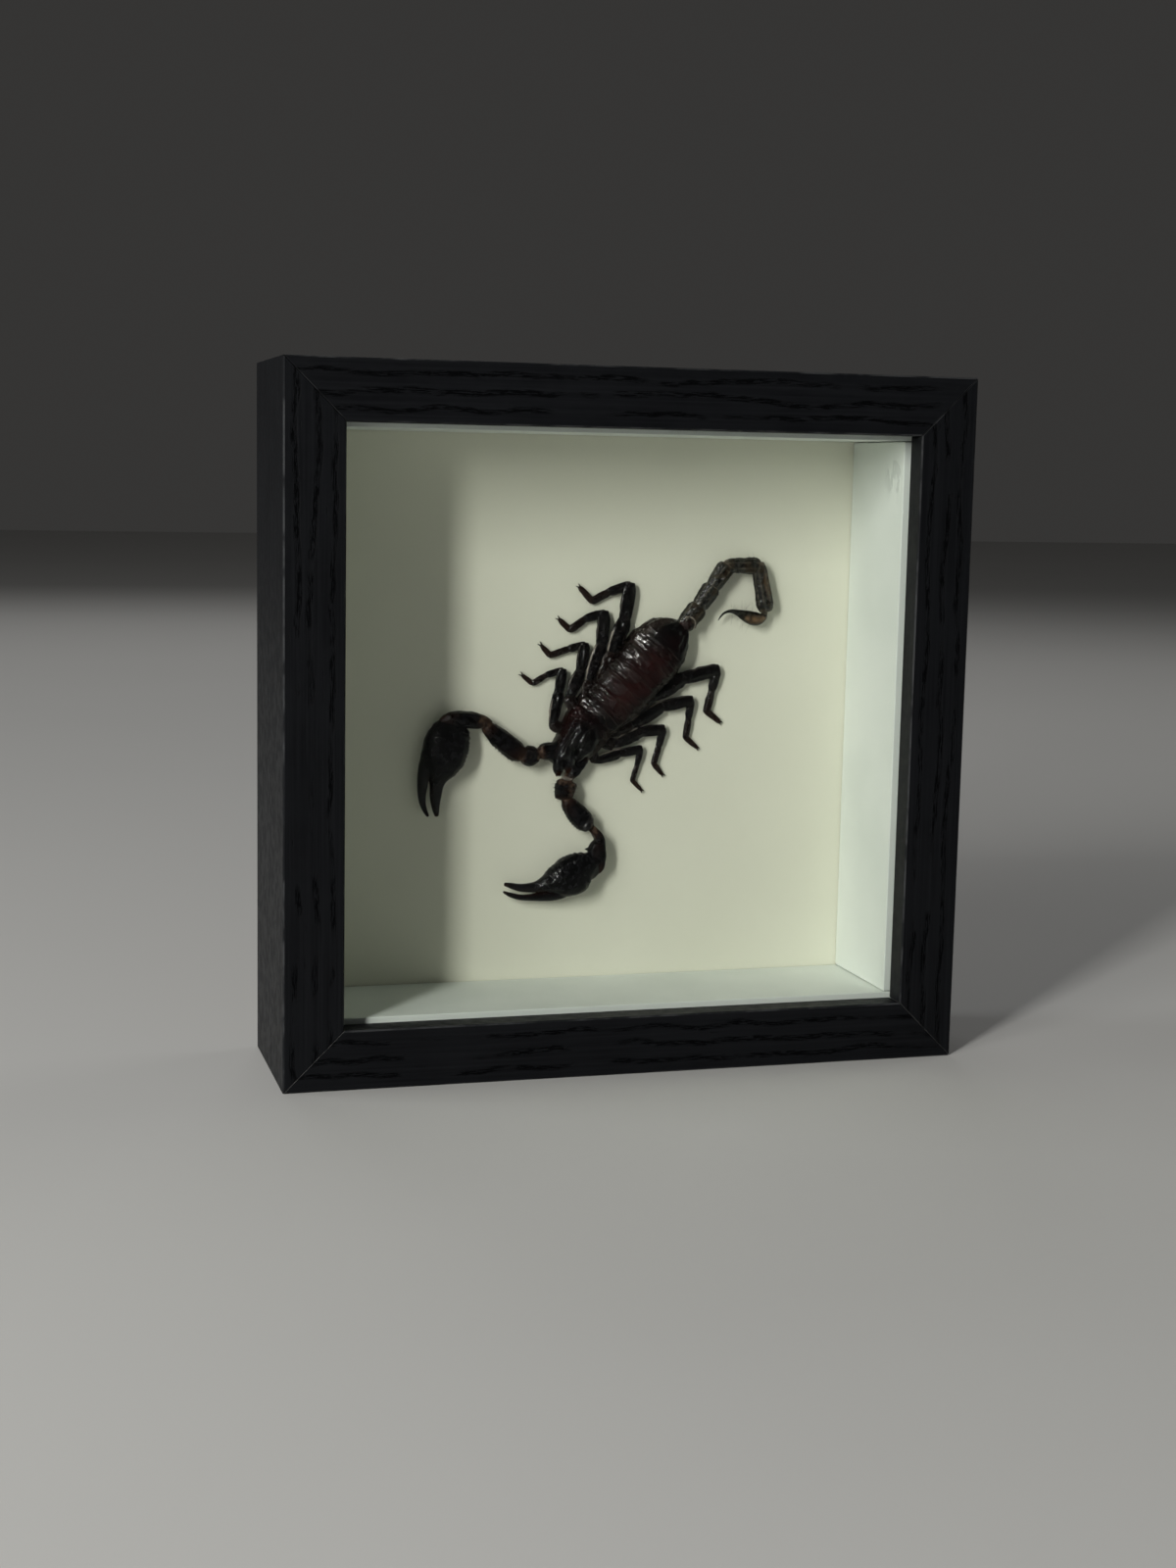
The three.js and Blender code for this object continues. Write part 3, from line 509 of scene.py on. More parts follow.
class Finish:
    """A material with a Principled shader, and short calls for the nodes that the finishes share."""

    def __init__(self, name, **constants):
        self.material = bpy.data.materials.new(name)
        self.material.use_nodes = True
        self.tree = self.material.node_tree
        self.tree.nodes.clear()
        self.output = self.tree.nodes.new("ShaderNodeOutputMaterial")
        self.shader = self.tree.nodes.new("ShaderNodeBsdfPrincipled")
        self.tree.links.new(self.shader.outputs[0], self.output.inputs["Surface"])
        self.coords = self.add("ShaderNodeTexCoord").outputs["Object"]
        for key, value in constants.items():
            self.shader.inputs[key.replace("_", " ")].default_value = value

    def add(self, kind, inputs=None, **settings):
        return add_node(self.tree, kind, inputs, **settings)

    def set(self, name, socket):
        self.tree.links.new(socket, self.shader.inputs[name])

    def tone(self, name):
        return self.add("ShaderNodeAttribute", attribute_name=name).outputs["Fac"]

    def mapped(self, scale, move=(0, 0, 0)):
        inputs = {"Vector": self.coords, "Scale": scale, "Location": move}
        return first_of(self.tree, "ShaderNodeMapping", inputs)

    def noise(self, scale, detail, roughness=0.5, vector=None, distortion=0.0):
        inputs = {"Vector": vector or self.coords, "Scale": scale, "Detail": detail, "Roughness": roughness}
        inputs["Distortion"] = distortion
        return self.add("ShaderNodeTexNoise", inputs).outputs["Fac"]

    def span(self, value, low, high, to_low=0.0, to_high=1.0):
        inputs = {0: value, 1: low, 2: high, 3: to_low, 4: to_high}
        return first_of(self.tree, "ShaderNodeMapRange", inputs, interpolation_type="SMOOTHSTEP")

    def maths(self, operation, first, second=0.0):
        return maths(self.tree, operation, first, second)

    def blend(self, share, first, second):
        inputs = {0: share}
        for socket, colour in ((6, first), (7, second)):
            inputs[socket] = colour if isinstance(colour, bpy.types.NodeSocket) else (*colour, 1.0)
        return self.add("ShaderNodeMix", inputs, data_type="RGBA").outputs[2]

    def bump(self, height, distance, strength):
        inputs = {"Height": height, "Distance": distance, "Strength": strength}
        return first_of(self.tree, "ShaderNodeBump", inputs)


# Finishes of the frame

# Bands of pores along a rail, in metres: distance from its outer edge, half width, how far they wander,
# and then how often they do
FOIL_BANDS = ((0.0042, 0.0013, 0.0018, 22), (0.0096, 0.0014, 0.0024, 17), (0.0152, 0.0012, 0.0022, 19))


def foil_finish(rail, length_axis, outer_edge, lean):
    """Black wood-grain foil: charcoal, with wandering bands of broken dark pores along the rail."""
    finish = Finish(f"black_foil_{rail}")
    parts = finish.add("ShaderNodeSeparateXYZ", {0: finish.coords}).outputs
    across = finish.maths("ABSOLUTE", finish.maths("SUBTRACT", parts[2 - length_axis], outer_edge))

    def stretched(wide, long):
        scale = [wide, wide, wide]
        scale[length_axis] = long
        return finish.mapped(scale, move=(lean, lean, lean))

    def band(centre, half, wander, slow):
        drift = [0.0, 0.0, 0.0]
        drift[length_axis] = slow
        bend = finish.noise(1.0, 3, 0.6, finish.mapped(drift, move=(lean + centre * 900, 0, 0)))
        middle = finish.span(bend, 0.2, 0.8, centre - wander, centre + wander)
        off = finish.maths("ABSOLUTE", finish.maths("SUBTRACT", across, middle))
        return finish.span(off, half * 0.35, half, 1.0, 0.0)

    streaks = band(*FOIL_BANDS[0])
    for row in FOIL_BANDS[1:]:
        streaks = finish.maths("MAXIMUM", streaks, band(*row))
    dashes = finish.noise(1.0, 3, 0.7, stretched(2600, 210))
    faint = finish.noise(1.0, 3, 0.65, stretched(620, 60))
    broken = finish.span(finish.noise(1.0, 2, 0.5, stretched(60, 45)), 0.35, 0.5)
    pores = finish.maths("MULTIPLY", streaks, broken)
    pores = finish.maths("MULTIPLY", pores, finish.span(dashes, 0.46, 0.54))
    pores = finish.maths("MAXIMUM", pores, finish.span(faint, 0.66, 0.74, 0.0, 0.6))
    lines = finish.noise(1.0, 3, 0.6, stretched(1100, 14))
    cloud = finish.noise(35, 3)
    ground = finish.blend(finish.span(cloud, 0.35, 0.65), (0.0046, 0.005, 0.0061), (0.0066, 0.0072, 0.0086))
    ground = finish.blend(finish.span(lines, 0.35, 0.75), ground, (0.0088, 0.0095, 0.0112))
    ground = finish.blend(pores, ground, (0.0023, 0.0025, 0.0029))
    # The eased front edges are painted paler in broken lines: partly wear, partly a painted highlight along
    # them.
    chafed_and_highlit_edge = finish.span(finish.noise(1.0, 3, 0.6, stretched(90, 70)), 0.42, 0.62, 0.1, 0.8)
    chafed_and_highlit_edge = finish.maths("MULTIPLY", finish.tone("edge"), chafed_and_highlit_edge)
    ground = finish.blend(chafed_and_highlit_edge, ground, (0.055, 0.057, 0.06))
    worn = finish.span(finish.tone("mitre"), 0.2, 0.9)
    worn = finish.maths("MULTIPLY", worn, finish.span(parts[2], 0.04, 0.16, 1.0, 0.1))
    finish.set("Base Color", finish.blend(worn, ground, (0.30, 0.31, 0.32)))
    gloss = finish.span(finish.noise(300, 2), 0.3, 0.7, 0.4, 0.5)
    finish.set("Roughness", finish.maths("ADD", gloss, finish.maths("MULTIPLY", pores, 0.25)))
    finish.set("Specular IOR Level", finish.span(pores, 0.0, 1.0, 0.07, 0.01))
    height = finish.maths("SUBTRACT", finish.maths("MULTIPLY", lines, 0.25), pores)
    finish.set("Normal", finish.bump(height, 0.0002, 0.8))
    return finish.material


def hardboard_finish():
    """Pressed brown fibre board."""
    finish = Finish("hardboard", Roughness=0.82, Specular_IOR_Level=0.25)
    dark, pale = (0.135, 0.075, 0.038), (0.225, 0.135, 0.072)
    speck = finish.noise(420, 5, 0.7)
    strands = finish.noise(126, 4, 0.75, distortion=1.5)
    colour = finish.blend(finish.span(speck, 0.32, 0.7), dark, pale)
    shade = tuple(0.8 * value for value in dark)
    finish.set("Base Color", finish.blend(finish.span(strands, 0.52, 0.72, 0, 0.55), colour, shade))
    finish.set("Normal", finish.bump(speck, 0.0001, 0.5))
    return finish.material


def mitre_finish():
    """The cut at a corner: chipped pale at the foot of the frame, closed and dark at its head."""
    finish = Finish("raw_mitre", Roughness=0.8, Specular_IOR_Level=0.15)
    up = finish.add("ShaderNodeSeparateXYZ", {0: finish.coords}).outputs[2]
    speck = finish.noise(700, 5, 0.7)
    chipped = finish.blend(finish.span(speck, 0.35, 0.65), (0.11, 0.105, 0.1), (0.24, 0.235, 0.225))
    finish.set("Base Color", finish.blend(finish.span(up, 0.06, 0.18), chipped, (0.006, 0.006, 0.0065)))
    finish.set("Normal", finish.bump(speck, 0.0001, 0.5))
    return finish.material


def glass_finish():
    """A clear pane that lets lamps through to the card behind it."""
    finish = Finish("clear_glass", Base_Color=(0.985, 0.995, 0.988, 1), Roughness=0.0, IOR=1.5)
    finish.shader.inputs["Transmission Weight"].default_value = 1.0
    finish.shader.inputs["Specular Tint"].default_value = (0.04, 0.04, 0.04, 1)
    path = finish.add("ShaderNodeLightPath")
    clear = finish.add("ShaderNodeBsdfTransparent", {"Color": (0.97, 0.985, 0.975, 1)})
    lamps = finish.maths("MAXIMUM", path.outputs["Is Shadow Ray"], path.outputs["Is Diffuse Ray"])
    mixed = finish.add("ShaderNodeMixShader", {0: lamps, 1: finish.shader.outputs[0], 2: clear.outputs[0]})
    finish.tree.links.new(mixed.outputs[0], finish.output.inputs["Surface"])
    return finish.material


def card_finish():
    """Cream card stock: an even tint with soft clouds and a fine felt."""
    finish = Finish("cream_card", Specular_IOR_Level=0.2)
    pale, shade = (0.765, 0.762, 0.645), (0.74, 0.737, 0.62)
    clouds = finish.noise(14, 3, 0.6)
    felt = finish.noise(1500, 4, 0.7)
    tint = finish.blend(finish.span(clouds, 0.3, 0.7), shade, pale)
    speck = tuple(0.94 * value for value in shade)
    finish.set("Base Color", finish.blend(finish.span(felt, 0.55, 0.8, 0, 0.5), tint, speck))
    finish.set("Roughness", finish.span(felt, 0.2, 0.8, 0.77, 0.91))
    finish.set("Normal", finish.bump(felt, 0.00012, 0.35))
    return finish.material


def spacer_finish():
    """White strip with a satin skin, and dried glue rubbed on it near the top right corner."""
    finish = Finish("white_spacer", Specular_IOR_Level=0.35)
    felt = finish.noise(900, 4, 0.7)
    clouds = finish.noise(22, 3, 0.6)
    tint = finish.blend(finish.span(clouds, 0.3, 0.7), (0.70, 0.745, 0.70), (0.77, 0.81, 0.765))
    low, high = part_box("spacer_right")
    spot = (low.x, low.y + 0.008, high.z - 0.012)
    reach = finish.add("ShaderNodeVectorMath", {0: finish.coords, 1: spot}, operation="DISTANCE")
    near = finish.span(reach.outputs["Value"], 0.002, 0.011, 1.0, 0.0)
    streaks = finish.noise(1.0, 3, 0.6, finish.mapped((260, 260, 90)))
    smear = finish.maths("MULTIPLY", near, finish.span(streaks, 0.48, 0.56))
    finish.set("Base Color", finish.blend(finish.maths("MULTIPLY", smear, 0.45), tint, (0.46, 0.50, 0.48)))
    finish.set("Roughness", finish.span(smear, 0.0, 1.0, 0.5, 0.14))
    height = finish.maths("ADD", finish.maths("MULTIPLY", felt, 0.2), smear)
    finish.set("Normal", finish.bump(height, 0.0001, 0.4))
    return finish.material


def steel_finish():
    """Rolled steel strip, finely scuffed and a little stained."""
    finish = Finish("steel_point", Metallic=1.0)
    scuffs = finish.noise(1.0, 3, 0.6, finish.mapped((900, 900, 900)))
    stain = finish.span(finish.noise(180, 4, 0.6), 0.45, 0.7)
    finish.set("Base Color", finish.blend(stain, (0.56, 0.57, 0.58), (0.38, 0.37, 0.36)))
    finish.set("Roughness", finish.span(scuffs, 0.3, 0.7, 0.24, 0.42))
    finish.set("Normal", finish.bump(scuffs, 0.00003, 0.4))
    return finish.material


# Finishes of the animal


def cuticle_finish(name, dark, sheen, warm, membrane, roughness, specular, patch, contrast):
    """Dry horny shell: dark and glossy, warmer and paler where its tones say so."""
    finish = Finish(name, Coat_Weight=0.04, Coat_Roughness=0.06)
    cloud = finish.noise(patch, 4, 0.6)
    mottle = finish.noise(420, 4, 0.65)
    pits = finish.noise(1400, 3, 0.6)
    # Cloudy patches from the dark colour to the sheen colour: partly the shell's own mottle, partly a
    # painted sheen.
    shell = finish.blend(finish.span(cloud, 0.51 - contrast, 0.51 + contrast), dark, sheen)
    warmth = finish.maths("MULTIPLY", finish.tone("warm"), finish.span(mottle, 0.25, 0.6, 0.55, 1.0))
    shell = finish.blend(warmth, shell, warm)
    skin = finish.blend(finish.span(mottle, 0.35, 0.65), tuple(0.45 * value for value in membrane), membrane)
    soft = finish.tone("membrane")
    finish.set("Base Color", finish.blend(soft, shell, skin))
    uneven = finish.span(mottle, 0.3, 0.7, roughness, roughness + 0.09)
    dull = finish.maths("ADD", uneven, finish.maths("MULTIPLY", soft, 0.22))
    gloss = finish.tone("gloss")
    finish.set("Roughness", finish.maths("SUBTRACT", dull, finish.maths("MULTIPLY", gloss, 0.06)))
    finish.set("Specular IOR Level", finish.span(gloss, 0.0, 1.0, 0.35 * specular, 1.6 * specular))
    finish.set("Normal", finish.bump(pits, 0.00006, 0.35))
    return finish.material


def bristle_finish():
    """Fine stiff hairs, amber to dark brown."""
    finish = Finish("bristle", Roughness=0.4, Specular_IOR_Level=0.4)
    shade = finish.span(finish.noise(250, 2), 0.4, 0.6)
    finish.set("Base Color", finish.blend(shade, (0.035, 0.02, 0.012), (0.12, 0.07, 0.035)))
    return finish.material


FOIL = {
    "bottom": foil_finish("bottom", 0, cad_box[0].z, 0.0),
    "top": foil_finish("top", 0, cad_box[1].z, 1.7),
    "left": foil_finish("left", 2, cad_box[0].x, 3.1),
    "right": foil_finish("right", 2, cad_box[1].x, 4.6),
}
RAW_EDGE = mitre_finish()
HARDBOARD = hardboard_finish()
GLASS = glass_finish()
CARD = card_finish()
SPACER = spacer_finish()
STEEL = steel_finish()
CLAW = cuticle_finish(
    "claw_black", dark=(0.0006, 0.0006, 0.0007), sheen=(0.0048, 0.0048, 0.0056), warm=(0.024, 0.0085, 0.005),
    membrane=(0.12, 0.075, 0.05), roughness=0.17, specular=0.15, patch=520, contrast=0.13,
)
BACK = cuticle_finish(
    "back_plate", dark=(0.0007, 0.0006, 0.0007), sheen=(0.003, 0.0022, 0.0025), warm=(0.018, 0.0038, 0.0036),
    membrane=(0.05, 0.036, 0.03), roughness=0.15, specular=0.32, patch=420, contrast=0.14,
)
HEAD = cuticle_finish(
    "head_shield", dark=(0.0006, 0.0006, 0.0007), sheen=(0.0026, 0.0022, 0.0025), warm=(0.02, 0.005, 0.0044),
    membrane=(0.034, 0.025, 0.022), roughness=0.17, specular=0.1, patch=420, contrast=0.14,
)
TAIL = cuticle_finish(
    "tail_shell", dark=(0.0012, 0.0013, 0.0012), sheen=(0.0175, 0.018, 0.014), warm=(0.16, 0.1, 0.055),
    membrane=(0.11, 0.09, 0.063), roughness=0.2, specular=0.24, patch=850, contrast=0.07,
)
# Its pale membrane colour serves both pale skin and the painted highlight lines along the legs' keels.
LEG = cuticle_finish(
    "leg_shell", dark=(0.001, 0.0009, 0.0011), sheen=(0.0048, 0.0044, 0.0047), warm=(0.026, 0.0115, 0.0075),
    membrane=(0.3, 0.26, 0.22), roughness=0.2, specular=0.14, patch=480, contrast=0.14,
)
BRISTLE = bristle_finish()


# Geometry Nodes trees


def new_tree(name, inputs):
    """A Geometry Nodes group with a geometry in and out and named inputs, and its two end nodes."""
    tree = bpy.data.node_groups.new(name, "GeometryNodeTree")
    tree.interface.new_socket("Geometry", in_out="INPUT", socket_type="NodeSocketGeometry")
    for label, kind in inputs.items():
        tree.interface.new_socket(label, in_out="INPUT", socket_type=kind)
    tree.interface.new_socket("Geometry", in_out="OUTPUT", socket_type="NodeSocketGeometry")
    return tree, tree.nodes.new("NodeGroupInput").outputs, tree.nodes.new("NodeGroupOutput").inputs


def end_tree(tree, out, instances, material):
    """Instances made real, smoothed and given their material at the tree's end."""
    real = first_of(tree, "GeometryNodeRealizeInstances", {"Geometry": instances})
    even = first_of(tree, "GeometryNodeSetShadeSmooth", {0: real})
    dressed = first_of(tree, "GeometryNodeSetMaterial", {"Geometry": even, "Material": material})
    tree.links.new(dressed, out[0])


def named_value(tree, name, kind="FLOAT"):
    """A value that each point carries by name."""
    return first_of(tree, "GeometryNodeInputNamedAttribute", {"Name": name}, data_type=kind)


def random_between(tree, low, high, seed, kind="FLOAT"):
    """A fixed random value for each point."""
    first, result = (2, 1) if kind == "FLOAT" else (0, 0)
    inputs = {first: low, first + 1: high, "Seed": seed}
    return add_node(tree, "FunctionNodeRandomValue", inputs, data_type=kind).outputs[result]


def bristle_tree(seed):
    """Bent hairs on a surface, thicker set where its bristle tone is higher."""
    sizes = dict.fromkeys(("Density", "Length", "Thickness"), "NodeSocketFloat")
    tree, given, out = new_tree("bristles", sizes)
    density = maths(tree, "MULTIPLY", given["Density"], named_value(tree, "bristle"))
    inputs = {"Mesh": given["Geometry"], "Density": density, "Seed": seed}
    spots = add_node(tree, "GeometryNodeDistributePointsOnFaces", inputs).outputs
    shape = {"Resolution": 4, "Start": (0, 0, 0), "Middle": (0.02, 0, 0.5), "End": (0.3, 0, 0.95)}
    bend = first_of(tree, "GeometryNodeCurveQuadraticBezier", shape)
    taper = maths(tree, "SUBTRACT", 1.05, first_of(tree, "GeometryNodeSplineParameter"))
    tapered = first_of(tree, "GeometryNodeSetCurveRadius", {"Curve": bend, "Radius": taper})
    relative = maths(tree, "DIVIDE", given["Thickness"], given["Length"])
    ring = first_of(tree, "GeometryNodeCurvePrimitiveCircle", {"Resolution": 3, "Radius": relative})
    hair = first_of(tree, "GeometryNodeCurveToMesh", {"Curve": tapered, "Profile Curve": ring})
    lean = random_between(tree, (-0.55, -0.55, -3.1), (0.55, 0.55, 3.1), seed + 1, "FLOAT_VECTOR")
    inputs = {0: spots["Rotation"], 1: lean}
    spin = first_of(tree, "FunctionNodeRotateRotation", inputs, rotation_space="LOCAL")
    long = maths(tree, "MULTIPLY", random_between(tree, 0.45, 1.1, seed + 2), given["Length"])
    inputs = {"Points": spots["Points"], "Instance": hair, "Rotation": spin, "Scale": long}
    end_tree(tree, out, first_of(tree, "GeometryNodeInstanceOnPoints", inputs), BRISTLE)
    return tree


def tooth_tree(material, pointed):
    """Teeth or rounded tubercles on points, each along its aim and of its own size."""
    tree, given, out = new_tree("teeth" if pointed else "tubercles", {"Stretch": "NodeSocketFloat"})
    if pointed:
        cone = {"Vertices": 7, "Side Segments": 2, "Radius Top": 0.12, "Radius Bottom": 1.0, "Depth": 2.0}
        tooth = first_of(tree, "GeometryNodeMeshCone", cone)
    else:
        tooth = first_of(tree, "GeometryNodeMeshIcoSphere", {"Radius": 1.0, "Subdivisions": 2})
    stretch = first_of(tree, "ShaderNodeCombineXYZ", {0: 1.0, 1: 1.0, 2: given["Stretch"]})
    shaped = first_of(tree, "GeometryNodeTransform", {"Geometry": tooth, "Scale": stretch})
    aim = {"Vector": named_value(tree, "aim", "FLOAT_VECTOR")}
    turned = first_of(tree, "FunctionNodeAlignRotationToVector", aim, axis="Z")
    inputs = {"Points": given["Geometry"], "Instance": shaped, "Rotation": turned}
    inputs["Scale"] = named_value(tree, "size")
    end_tree(tree, out, first_of(tree, "GeometryNodeInstanceOnPoints", inputs), material)
    return tree


def grown(carrier, tree, name, **sizes):
    """The result of a tree on a carrier object, as a plain mesh object that takes its place."""
    modifier = carrier.modifiers.new("grow", "NODES")
    modifier.node_group = tree
    for item in tree.interface.items_tree:
        if item.in_out == "INPUT" and item.name in sizes:
            modifier[item.identifier] = sizes[item.name]
    graph = bpy.context.evaluated_depsgraph_get()
    made = new_object(name, bpy.data.meshes.new_from_object(carrier.evaluated_get(graph)))
    bpy.data.objects.remove(carrier)
    return made


def teeth_on(spots, tree, stretch=1.0):
    """Teeth at spots, which are rows of place on the card, aim on the card and size in millimetres."""
    places, aims, sizes = (np.array(column, float) for column in zip(*spots))
    mesh = bpy.data.meshes.new("tooth_spots")
    mesh.from_pydata(on_card(places).tolist(), [], [])
    aim = mesh.attributes.new("aim", "FLOAT_VECTOR", "POINT")
    turned = np.stack([aims[:, 0], -aims[:, 2], aims[:, 1]], axis=1)
    aim.data.foreach_set("vector", turned.astype(np.float32).ravel())
    add_tone(mesh, "size", MM * sizes)
    return grown(new_object("tooth_spots", mesh), tree, "teeth", Stretch=stretch)


def edge_row(stations, count, span, turn, sizes, sink=0.15):
    """Spots for a row of teeth at one angle of a loft's section, between two shares of its length."""
    place, knots = loft_path(stations)
    path = smooth_through(place, knots, np.linspace(0, place[-1], 60))
    across = across_of(path)
    spots = []
    for share in np.linspace(*span, count):
        index = share * (len(path) - 1)
        x, y, z, wide, high = (np.interp(index, np.arange(len(path)), column) for column in path.T)
        side = across[int(round(index))]
        aim = side * math.cos(turn) + np.array([0, 0, math.sin(turn)])
        outward = side * math.cos(turn) * (wide - sink)
        upward = np.array([0, 0, math.sin(turn) * (high - sink)])
        size = np.interp(share, np.linspace(*span, len(sizes)), sizes)
        spots.append((np.array([x, y, z]) + outward + upward, aim, size))
    return spots


CLAW_TEETH = tooth_tree(CLAW, pointed=True)
CLAW_TUBERCLES = tooth_tree(CLAW, pointed=False)


# Frame pieces: each solid's own shape with its edges eased


def eased_copy(node, name, materials, ease):
    """A copy of a solid's mesh with flat faces made whole and sharp edges rounded by ease millimetres."""
    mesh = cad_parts[node].data.copy()
    mesh.name = name
    shape = bmesh.new()
    shape.from_mesh(mesh)
    bmesh.ops.remove_doubles(shape, verts=shape.verts, dist=1e-6)
    bmesh.ops.dissolve_limit(shape, angle_limit=0.02, verts=shape.verts, edges=shape.edges)
    sharp = [edge for edge in shape.edges if edge.is_manifold and edge.calc_face_angle() > 0.35]
    bmesh.ops.bevel(
        shape, geom=sharp, offset=ease * MM, segments=2, profile=0.5, affect="EDGES", clamp_overlap=True,
    )
    shape.to_mesh(mesh)
    shape.free()
    mesh.materials.clear()
    for material in materials:
        mesh.materials.append(material)
    mesh.shade_flat()
    return new_object(name, mesh)


# How worn the mitre of each corner is
CORNER_WEAR = {
    ("left", "bottom"): 1.0, ("right", "bottom"): 0.5, ("right", "top"): 0.45, ("left", "top"): 0.3,
}


def mitre_planes(rail):
    """Normals and points of the two mitre planes of a rail, with how worn each corner is."""
    centre = (cad_box[0] + cad_box[1]) / 2
    planes = []
    for (upright, level), worn in CORNER_WEAR.items():
        if rail in (upright, level):
            sign = -1 if (upright, level) in (("left", "bottom"), ("right", "top")) else 1
            planes.append((Vector((1, 0, sign)).normalized(), centre, worn))
    return planes


def build_rail(rail):
    """A mitred rail in foil, its foil paler where it was cut at the mitres."""
    piece = eased_copy(f"rail_{rail}", f"frame_rail_{rail}", [FOIL[rail], RAW_EDGE], ease=0.16)
    mesh = piece.data
    worn = np.zeros(len(mesh.vertices))
    for normal, centre, share in mitre_planes(rail):
        for face in mesh.polygons:
            if abs(face.normal.dot(normal)) > 0.99 and abs((face.center - centre).dot(normal)) < 0.3 * MM:
                face.material_index = 1
                worn[list(face.vertices)] = share
    add_tone(mesh, "mitre", worn)
    # Faces of the eased front edges, which the foil paints paler: partly wear, partly a painted highlight.
    front = cad_box[0].y + 2 * MM
    slanted = [
        face.center.y < front and max(abs(part) for part in face.normal) < 0.97
        for face in mesh.polygons
    ]
    add_tone(mesh, "edge", slanted, "FACE")
    settle(piece, "frame_wood", f"rail_{rail}")


def build_plain(node, name, material, slot, ease):
    """A frame piece in one finish."""
    settle(eased_copy(node, name, [material], ease), slot, node)


for rail in RAILS:
    build_rail(rail)
    build_plain(f"spacer_{rail}", f"white_spacer_{rail}", SPACER, "spacer_board", ease=0.25)
    for number in (1, 2):
        build_plain(f"tab_{rail}_{number}", f"steel_point_{rail}_{number}", STEEL, "steel_tab", ease=0.1)
build_plain("glass", "glass_pane", GLASS, "glass_pane", ease=0.3)
build_plain("mounting_card", "cream_card", CARD, "mounting_card", ease=0.08)
build_plain("back_board", "hardboard_back", HARDBOARD, "back_board", ease=0.15)


# Trunk


def trunk_stations(start, end, rows):
    """Stations along a trunk axis from rows of distance, half width and top."""
    stations = []
    for distance, wide, top in rows:
        x, y = along_axis(start, end, distance)
        stations.append((x, y, (top + UNDERSIDE) / 2, wide, (top - UNDERSIDE) / 2))
    return stations


def half_width_at(rows, distance):
    """The half width of a trunk piece at a distance along it."""
    return np.interp(distance, [row[0] for row in rows], [row[1] for row in rows])


def arched(at, turn, points):
    """How far each point of a trunk loft moves to make its section an arch that stands on the card,
    evenly rounded on its left and flatter on its right."""
    low = points[..., 2].min(axis=1, keepdims=True)
    high = points[..., 2].max(axis=1, keepdims=True)
    share = np.clip(2 * points[..., 2] - low - high, 0, None) / (high - low + 1e-6)
    rise = (high - low) * share ** (1 - 0.55 * step(0.2, -0.4, np.cos(turn)))
    return (low + rise - points[..., 2])[..., None] * np.array([0, 0, 1])


def build_carapace():
    """Two black lobes with a furrow and notch between them, an eye hump, and grained warmer flanks."""
    back = CARAPACE[0][0]
    heading = along_axis(NECK, HEAD_FRONT, 1) - np.array(NECK)

    def places(at, turn):
        distance = at + back
        return distance, np.cos(turn) * half_width_at(CARAPACE, distance), np.sin(turn)

    def shift(at, turn, points):
        distance, across, _ = places(at, turn)
        pull = 2.6 * ridge(across, -0.2, 1.2) * step(10, 17, distance)
        oblique = 0.6 * across * step(7, 16.5, distance)
        return arched(at, turn, points) - (pull + oblique)[..., None] * np.array([*heading, 0])

    def relief(at, turn, points):
        distance, across, top = places(at, turn)
        upper = step(0.1, 0.5, top)
        furrow = ridge(across, 0, 0.7) * (0.3 + 0.6 * step(8, 15, distance))
        lobes = 0.7 * (ridge(across, 2.9, 1.7) + ridge(across, -2.9, 1.7)) * ridge(distance, 11.5, 5)
        side_furrow = 0.5 * ridge(np.abs(across), 5.6 - 0.1 * distance, 0.7) * step(1, 5, distance)
        rear = 0.45 * ridge(distance, 2.6 + 0.22 * np.abs(across), 0.6)
        hump = 0.95 * ridge(distance, EYE_HUMP, 1.7) * ridge(across, 0, 1.25)
        hump -= 0.4 * ridge(distance, EYE_HUMP, 2) * ridge(np.abs(across), 1.9, 0.5)
        rim = 0.3 * ridge(distance, 16.2, 0.5)
        grains = granules(points, 0.75, 3)
        flank = np.minimum(step(3.6, 5.5, np.abs(across)) + 0.6 * step(4.5, 1.5, distance), 1)
        streaked = np.stack([across / 0.9, distance / 5, np.zeros(at.shape)], axis=-1)
        rays = 0.4 - np.abs(noise(streaked, 1.0, 6))
        lumps = 0.3 * noise(points, 2.0, 5) + 0.24 * noise(points, 1.0, 4)
        shape = upper * (lobes + hump + rim - furrow - side_furrow - rear + lumps)
        return shape + flank * (0.16 * grains + 0.07 * rays) + 0.05 * grains

    def tones(at, turn, points):
        distance, across, _ = places(at, turn)
        flank = step(4.2, 6.4, np.abs(across) + 1.3 * noise(points, 2.5, 7))
        rear = step(7.5, 2.5, distance)
        pale = step(4.2, 6.2, across + 0.9 * noise(points, 1.8, 9)) * step(16, 10, distance)
        red = step(0.0, -5.0, across) * flank * step(13, 8, distance)
        return {
            "warm": 0.2 * red + 0.12 * flank + 0.13 * rear * (1 + noise(points, 1.5, 8)),
            "membrane": 0.75 * pale,
            "gloss": (1 - flank) * (0.5 + 0.5 * step(6, 11, distance)),
        }

    stations = trunk_stations(NECK, HEAD_FRONT, CARAPACE)
    shells = [loft(stations, 140, 150, 2.5, (1.6, 1.2), relief, tones, shift)]
    square = np.array([-heading[1], heading[0]])
    for side in (-1, 1):
        x, y = along_axis(NECK, HEAD_FRONT, EYE_HUMP + 0.2) + square * side * 0.72
        shells.append(bead((x, y, 9.75), 0.5))
        for number in range(3):
            out = 5.55 + 0.28 * number
            x, y = along_axis(NECK, HEAD_FRONT, 15.2 - 0.85 * number) + square * side * out
            shells.append(bead((x, y, 5.1), 0.3, 7, 9))
    settle(shell_object("carapace_shield", shells, HEAD), "scorpion_back", "carapace")


